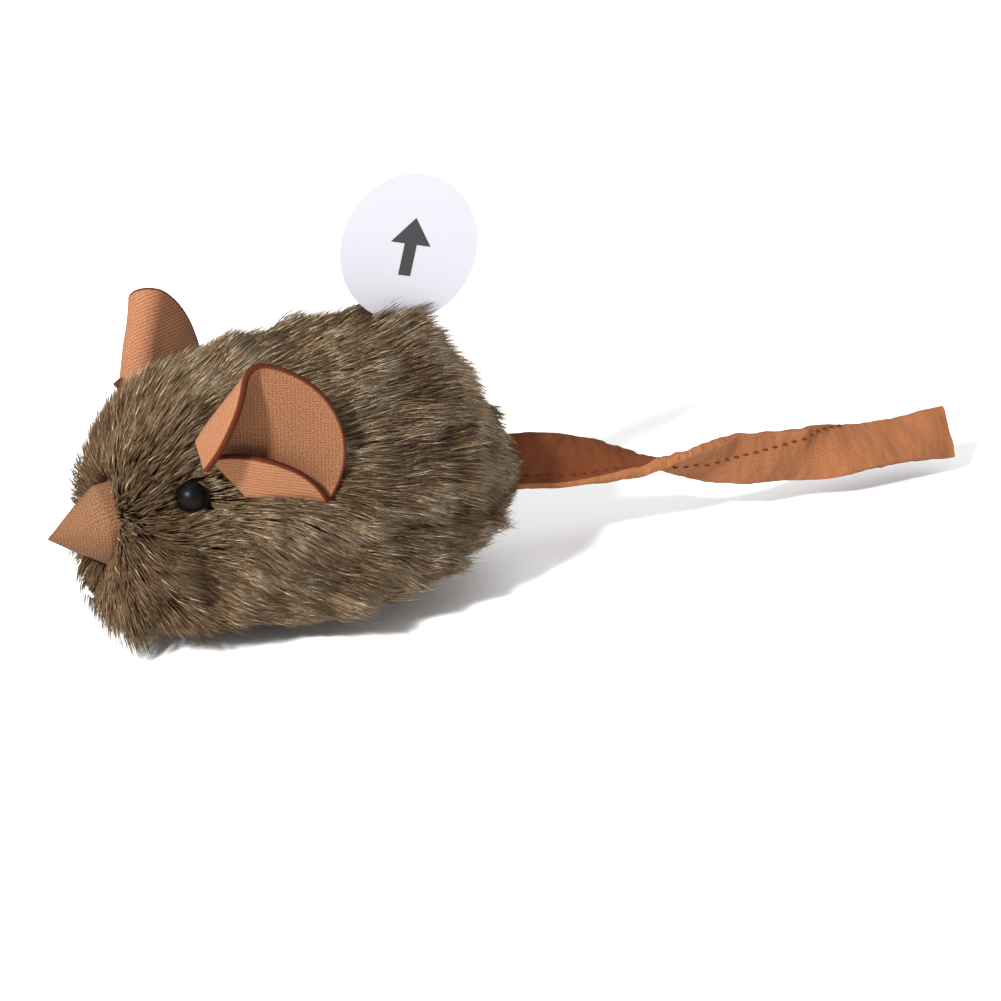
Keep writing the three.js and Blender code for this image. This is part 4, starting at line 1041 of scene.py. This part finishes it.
from_tab = np.linalg.norm(root - (tab_exit - np.array([0, 0, PILE_DEPTH])), axis=1)
tuft = np.exp(-((from_tab / (7 * MM)) ** 2))
length = HAIR_LENGTH * (1 + 0.16 * wave(root, 5 * MM, 3) + rng.normal(0, 0.12, root_count))
length *= 0.80 + 0.20 * smooth_step(root[:, 1], -30 * MM, -12 * MM)
length *= 1 - 0.22 * at_rump
length *= 1 + 0.10 * tuft
below_nose = near_face[:, 0] * smooth_step(-root[:, 2], -19 * MM, -13 * MM)
below_nose *= smooth_step(root[:, 2], 4 * MM, 9 * MM)
length *= 1 + 0.35 * below_nose
length *= 1 - 0.5 * smooth_step(-root[:, 2], -9 * MM, -4 * MM)
length *= 1 - 0.65 * near_face[:, 0] * smooth_step(-root[:, 2], -10 * MM, -6 * MM)
stand = 0.44 + 0.08 * wave(root, 6 * MM, 4) + rng.normal(0, 0.08, root_count) - 0.20 * at_rump
stand += 0.24 * near_face[:, 0] + 0.32 * tuft
stand = np.clip(stand, 0.18, 1.3)

# %% [markdown]
# Hairs part around the eyes, the nose, the ears and the tail. A hair that stands where one of them
# comes through the cloth is left out, and those nearby are shorter, as they are trimmed on the toy.

# %% Clear the pile around the eyes, the nose, the ears and the tail
def near_line(points, start, end):
    """Distance from each point to a straight line between two ends."""
    start, end = np.array(start), np.array(end)
    way = end - start
    share = np.clip(((points - start) @ way) / (way @ way), 0, 1)
    return np.linalg.norm(points - start - share[:, None] * way, axis=1)


eye_gap = np.full(root_count, 1.0)
for side in (1, -1):
    mirror = np.array([side, 1, 1])
    eye_back = np.array(eye_centre - eye_out * 6 * MM)
    eye_gap = np.minimum(eye_gap, near_line(root, np.array(eye_centre) * mirror, eye_back * mirror))
nose_gap = near_line(root * np.array([1.25, 1, 0.95]), NOSE_ROOT * 0.98, NOSE_ROOT)
length *= 0.42 + 0.58 * smooth_step(eye_gap, 2.0 * MM, 6.5 * MM)
stand += 0.35 * (1 - smooth_step(eye_gap, 2.2 * MM, 4.5 * MM))
seam_way = Vector((-EAR_SLANT.y, EAR_SLANT.x, 0))
for side, word in ((1, "left"), (-1, "right")):
    place = Matrix.Diagonal((side, 1, 1, 1)) @ ear_place(EAR_YAWS[word])
    ear_gap = near_line(root, place @ (seam_way * -7 * MM), place @ (seam_way * 8 * MM))
    stand += 0.32 * (1 - smooth_step(ear_gap, 4 * MM, 8 * MM))
length *= 0.62 + 0.38 * smooth_step(nose_gap, 4.5 * MM, 10 * MM)
kept = (eye_gap > 2.2 * MM) & (nose_gap > 4.0 * MM)
kept &= rng.uniform(0, 1, root_count) < 1 - 0.6 * smooth_step(-root[:, 2], -4.6 * MM, -4.0 * MM)
station, turn, root, normal, comb, length, stand, tuft = (
    rows[kept] for rows in (station, turn, root, normal, comb, length, stand, tuft)
)
root_count = len(root)
print("hairs kept:", root_count)

# %% [markdown]
# A hair leaves the backing at a steep angle and bends over until it lies almost flat. Neighbouring
# hairs share a lock: each one is drawn towards its lock's leader, more and more towards the tip. Small
# locks sit inside larger ones, which gives the fine streaks and the coarser partings of real pile.

# %% Bend the hairs and draw them into locks
SHARES = np.array([0, 0.34, 0.70, 1.0])
LOCK_LEVELS = [(6500, 0.34, 11), (1500, 0.16, 12)]  # number of locks, how strongly they gather, seed


def bend_hairs(root, normal, comb, length, stand):
    """Each hair's place at the four shares of its length."""
    places = [root - normal * 0.15 * MM]
    fine = 6
    for start, end in zip(SHARES, SHARES[1:]):
        place = places[-1]
        for k in range(fine):
            share = start + (end - start) * (k + 0.5) / fine
            angle = (stand * (1.42 - 1.08 * share))[:, None]
            way = comb * np.cos(angle) + normal * np.sin(angle)
            place = place + way * (length * (end - start) / fine)[:, None]
        places.append(place)
    return np.stack(places, 1)


def gather(paths, root):
    """Draw the hairs of each lock together towards their tips."""
    for count, pull, seed in LOCK_LEVELS:
        chosen = int(count * len(root) / FULL_HAIR_COUNT) + 1
        leaders = np.random.default_rng(seed).choice(len(root), chosen, replace=False)
        tree = KDTree(len(leaders))
        for spot, leader in enumerate(leaders):
            tree.insert(root[leader], spot)
        tree.balance()
        own = leaders[np.array([tree.find(place)[1] for place in root])]
        strength = (pull * rng.uniform(0.5, 1.5, len(root)))[:, None, None] * (SHARES**1.4)[None, :, None]
        paths = paths + (paths[own] - paths) * strength
        lock = own
    return paths, lock


LONG_HAIRS = 0.012
TALLEST = 7 * MM
guard = rng.uniform(0, 1, root_count) < LONG_HAIRS
length = np.where(guard, length * 1.22, length)
stand = np.where(guard, stand * 1.15, stand)


def clear_of_seam(item, place):
    """Whether a place on an ear is above the line where the pile covers its seam."""
    if not item.name.startswith("ear_cloth"):
        return True
    word = item.name.split("_")[-1]
    near = Vector((abs(place.x), place.y, place.z))
    return (ear_place(EAR_YAWS[word]).inverted() @ near).dot(EAR_SLANT) < -1.8 * MM


def surface_tree(*objects):
    """A search tree over the faces of some objects."""
    places, faces = [], []
    for item in objects:
        start = len(places)
        places += [item.matrix_world @ vert.co for vert in item.data.vertices]
        faces += [
            [start + index for index in face.vertices] for face in item.data.polygons
            if clear_of_seam(item, item.matrix_world @ face.center)
        ]
    return BVHTree.FromPolygons(places, faces)


IN_THE_WAY = [
    "ear_cloth_left", "ear_cloth_right", "eye_bead_left", "eye_bead_right", "nose_cloth", "tail_cloth_near",
]
obstacles = surface_tree(
    *[bpy.data.objects[name] for name in IN_THE_WAY],
    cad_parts["pull_tab"],
)


def clear_share(path):
    """The share of a hair that is free, up to where it meets an ear, an eye, the nose or the tab."""
    for step in range(3):
        start, end = Vector(path[step]), Vector(path[step + 1])
        way = end - start
        reach = way.length
        if reach < 1e-9:
            continue
        hit = obstacles.ray_cast(start, way, reach)
        if hit[0] is not None:
            return SHARES[step] + (SHARES[step + 1] - SHARES[step]) * hit[3] / reach
    return 1.0


paths, lock = gather(bend_hairs(root, normal, comb, length, stand), root)
NODES_IN_THE_WAY = ["ear_left", "ear_right", "eye_left", "eye_right", "nose", "pull_tab", "tail_base"]
hit_zone = np.array([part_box(node) for node in NODES_IN_THE_WAY])
near_obstacle = np.zeros(root_count, bool)
for low, high in hit_zone:
    tips = paths[:, 1:]
    inside = ((tips > low - 2 * MM) & (tips < high + 2 * MM)).all(2).any(1)
    near_obstacle |= inside
checked = np.nonzero(near_obstacle)[0]
free = np.ones(root_count)
free[checked] = [clear_share(paths[index]) for index in checked]
short = free < 1
length[short] *= np.clip(free[short] * 0.85, 0.05, 1)
paths, lock = gather(bend_hairs(root, normal, comb, length, stand), root)
free[:] = 1
free[checked] = [clear_share(paths[index]) for index in checked]
rise = ((paths[:, 3] - root) * normal).sum(1)
standing = (free > 0.999) & (paths[:, 3, 2] > 0.2 * MM) & (rise < TALLEST * (1 + 0.4 * tuft))
print("hairs checked:", len(checked), "shortened:", int(short.sum()), "left out:", int((~standing).sum()))

# %% [markdown]
# Nearly every hair is dark at its root and paler at its tip, and hairs of a few close shades are mixed.
# Each hair is a closed three-sided needle with rings at three heights, a copy of one small cone made by
# the mesh operators. A piece is one zone of the pile with all of its needles, and each part of a needle
# takes one of a few plain shades.

# %% Make the hairs
def hair_shade(name, colour):
    material = bpy.data.materials.new(name)
    material.use_nodes = True
    shader = material.node_tree.nodes["Principled BSDF"]
    shader.inputs["Base Color"].default_value = linear(*colour)
    shader.inputs["Roughness"].default_value = 0.7
    dull(material, 0.12)
    return material


ROOT_SHADES = [(50, 34, 20), (38, 25, 15), (62, 44, 28)]
MIDDLE_SHADES = [(84, 65, 45), (98, 79, 57), (70, 52, 34), (114, 95, 72)]
TIP_SHADES = [(126, 107, 84), (108, 88, 65), (142, 124, 101), (88, 69, 48), (160, 145, 124)]
FIRST_MIDDLE = len(ROOT_SHADES)
FIRST_TIP = FIRST_MIDDLE + len(MIDDLE_SHADES)
SHADES = [
    hair_shade(f"hair {part} {index}", colour)
    for part, colours in (("root", ROOT_SHADES), ("middle", MIDDLE_SHADES), ("tip", TIP_SHADES))
    for index, colour in enumerate(colours)
]
HAIR_RADII = np.array([0.080, 0.084, 0.058, 0.0]) * MM


def needles(count):
    """A mesh with the given number of needles, all copies of one, and what each vertex is in its own."""
    bm = bmesh.new()
    bmesh.ops.create_cone(bm, cap_ends=True, segments=3, radius1=1, radius2=0, depth=1)
    bmesh.ops.remove_doubles(bm, verts=bm.verts, dist=1e-5)
    slanted = [edge for edge in bm.edges if abs(edge.verts[0].co.z - edge.verts[1].co.z) > 0.5]
    bmesh.ops.subdivide_edges(bm, edges=slanted, cuts=2, use_grid_fill=True)
    bmesh.ops.recalc_face_normals(bm, faces=bm.faces)
    one_needle = len(bm.verts)
    copies = 1
    while copies < count:
        wanted = min(copies, count - copies) * one_needle
        bm.verts.ensure_lookup_table()
        verts = bm.verts[:wanted]
        chosen = set(verts)
        edges = [edge for edge in bm.edges if edge.verts[0] in chosen]
        faces = [face for face in bm.faces if face.verts[0] in chosen]
        bmesh.ops.duplicate(bm, geom=verts + edges + faces)
        copies += wanted // one_needle
    bm.verts.index_update()
    return bm, one_needle


def hair_piece(name, members):
    bm, size = needles(len(members))
    piece = finish_piece(bm, name, SHADES, smooth=True)
    mesh = piece.data
    local = np.empty(len(mesh.vertices) * 3)
    mesh.vertices.foreach_get("co", local)
    local = local.reshape(-1, size, 3)
    ring = np.rint((local[0, :, 2] + 0.5) * 3).astype(int)
    angle = np.arctan2(local[0, :, 1], local[0, :, 0])
    assert np.allclose(local, local[0])
    path = paths[members]
    way = unit((path[:, 1:] - path[:, :-1]).reshape(-1, 3)).reshape(-1, 3, 3)
    way = np.concatenate([way, way[:, -1:]], 1)
    across = unit(np.cross(way.reshape(-1, 3), np.repeat(normal[members], 4, 0))).reshape(-1, 4, 3)
    over = np.cross(across, way)
    thick = np.where(guard[members], 1.1, 1.0) * rng.uniform(0.8, 1.2, len(members))
    thick = thick * (0.45 + 0.55 * smooth_step(length[members], 1.5 * MM, 5 * MM))
    radius = HAIR_RADII[None, ring] * thick[:, None]
    placed = path[:, ring] + radius[:, :, None] * (
        np.cos(angle)[None, :, None] * across[:, ring] + np.sin(angle)[None, :, None] * over[:, ring]
    )
    mesh.vertices.foreach_set("co", placed.ravel())
    loops = np.empty(len(mesh.loops), int)
    mesh.loops.foreach_get("vertex_index", loops)
    starts = np.empty(len(mesh.polygons), int)
    mesh.polygons.foreach_get("loop_start", starts)
    rings_of_face = np.maximum.reduceat(ring[loops % size], starts)
    strand = loops[starts] // size
    root_shade = (tone[members] * 2.999).astype(int) % len(ROOT_SHADES)
    shade = np.where(
        rings_of_face <= 1,
        root_shade[strand],
        np.where(
            rings_of_face == 2,
            FIRST_MIDDLE + middle_shade[members][strand],
            FIRST_TIP + tip_shade[members][strand],
        ),
    )
    mesh.polygons.foreach_set("material_index", shade)
    mesh.update()
    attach(piece, "body")
    return piece


leaders_tone = np.random.default_rng(31).uniform(0, 1, root_count)
combed = root * np.array([1, 0.3, 1])
streak = 0.5 + 0.26 * wave(combed, 7 * MM, 21) + 0.2 * wave(combed, 2.2 * MM, 22)
tone = 0.26 * leaders_tone[lock] + 0.34 * streak + 0.40 * rng.uniform(0, 1, root_count)
# Hairs near the face take darker shades: painted shade on the face.
tone -= 0.34 * near_face[kept][:, 0]
spread = np.argsort(np.argsort(tone)) / root_count
middle_order = np.array([2, 0, 1, 3])
tip_order = np.array([3, 1, 0, 2, 4])
middle_shade = middle_order[np.searchsorted([0.28, 0.60, 0.86], spread)]
tip_shade = tip_order[np.searchsorted([0.22, 0.50, 0.78, 0.95], spread)]
tip_shade = np.where(guard, 4, tip_shade)
middle_shade = np.where(guard, 3, middle_shade)

order = np.nonzero(standing)[0]
order = order[np.argsort(root[order, 1])]
pieces = math.ceil(len(order) / HAIRS_PER_PIECE)
for index, members in enumerate(np.array_split(order, pieces)):
    zone = hair_piece(f"fur_pile_{index + 1}", members)
    print(zone.name, "hairs:", len(members), "faces:", len(zone.data.polygons))

# %% [markdown]
# ## Floor and light
# The toy stands on a white sweep. A wide soft light overhead, a small harder key light from the front,
# which throws the ear's crisp shadow, and a white surrounding are enough.

# %% Light the scene
def lamp(name, place, aim, size, power):
    data = bpy.data.lights.new(name, "AREA")
    data.size = size
    data.energy = power
    light = bpy.data.objects.new(name, data)
    bpy.context.collection.objects.link(light)
    light.location = place
    light.rotation_euler = (Vector(aim) - Vector(place)).to_track_quat("-Z", "Y").to_euler()
    return light


lamp("key", (0.50, -0.66, 0.56), (0, 0, 0.02), 0.09, 24.0)
lamp("overhead", (0.1, 0.1, 0.9), (0, 0.03, 0), 0.9, 3.0)
world = bpy.data.worlds.new("studio")
bpy.context.scene.world = world
world.use_nodes = True
world.node_tree.nodes["Background"].inputs["Color"].default_value = (1, 1, 1, 1)
world.node_tree.nodes["Background"].inputs["Strength"].default_value = 0.72

bm = bmesh.new()
bmesh.ops.create_grid(bm, x_segments=1, y_segments=1, size=3)
PAPER, nodes, links, shader = node_material("white sweep")
shader.inputs["Base Color"].default_value = (0.93, 0.93, 0.93, 1)
shader.inputs["Roughness"].default_value = 0.9
floor = finish_piece(bm, "floor", [PAPER], smooth=False)
floor.location.z = 0
floor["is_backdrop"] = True

# %% [markdown]
# ## Finish
# The finished piece's box is measured against the imported model's box.

# %% Measure the sizes and finish
size = {"before": cad_box, "after": [list(corner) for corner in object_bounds()]}
drift = max(abs(a - b) for one, two in zip(size["before"], size["after"]) for a, b in zip(one, two))
print("the box moved at most this many millimetres:", round(drift / MM, 2))
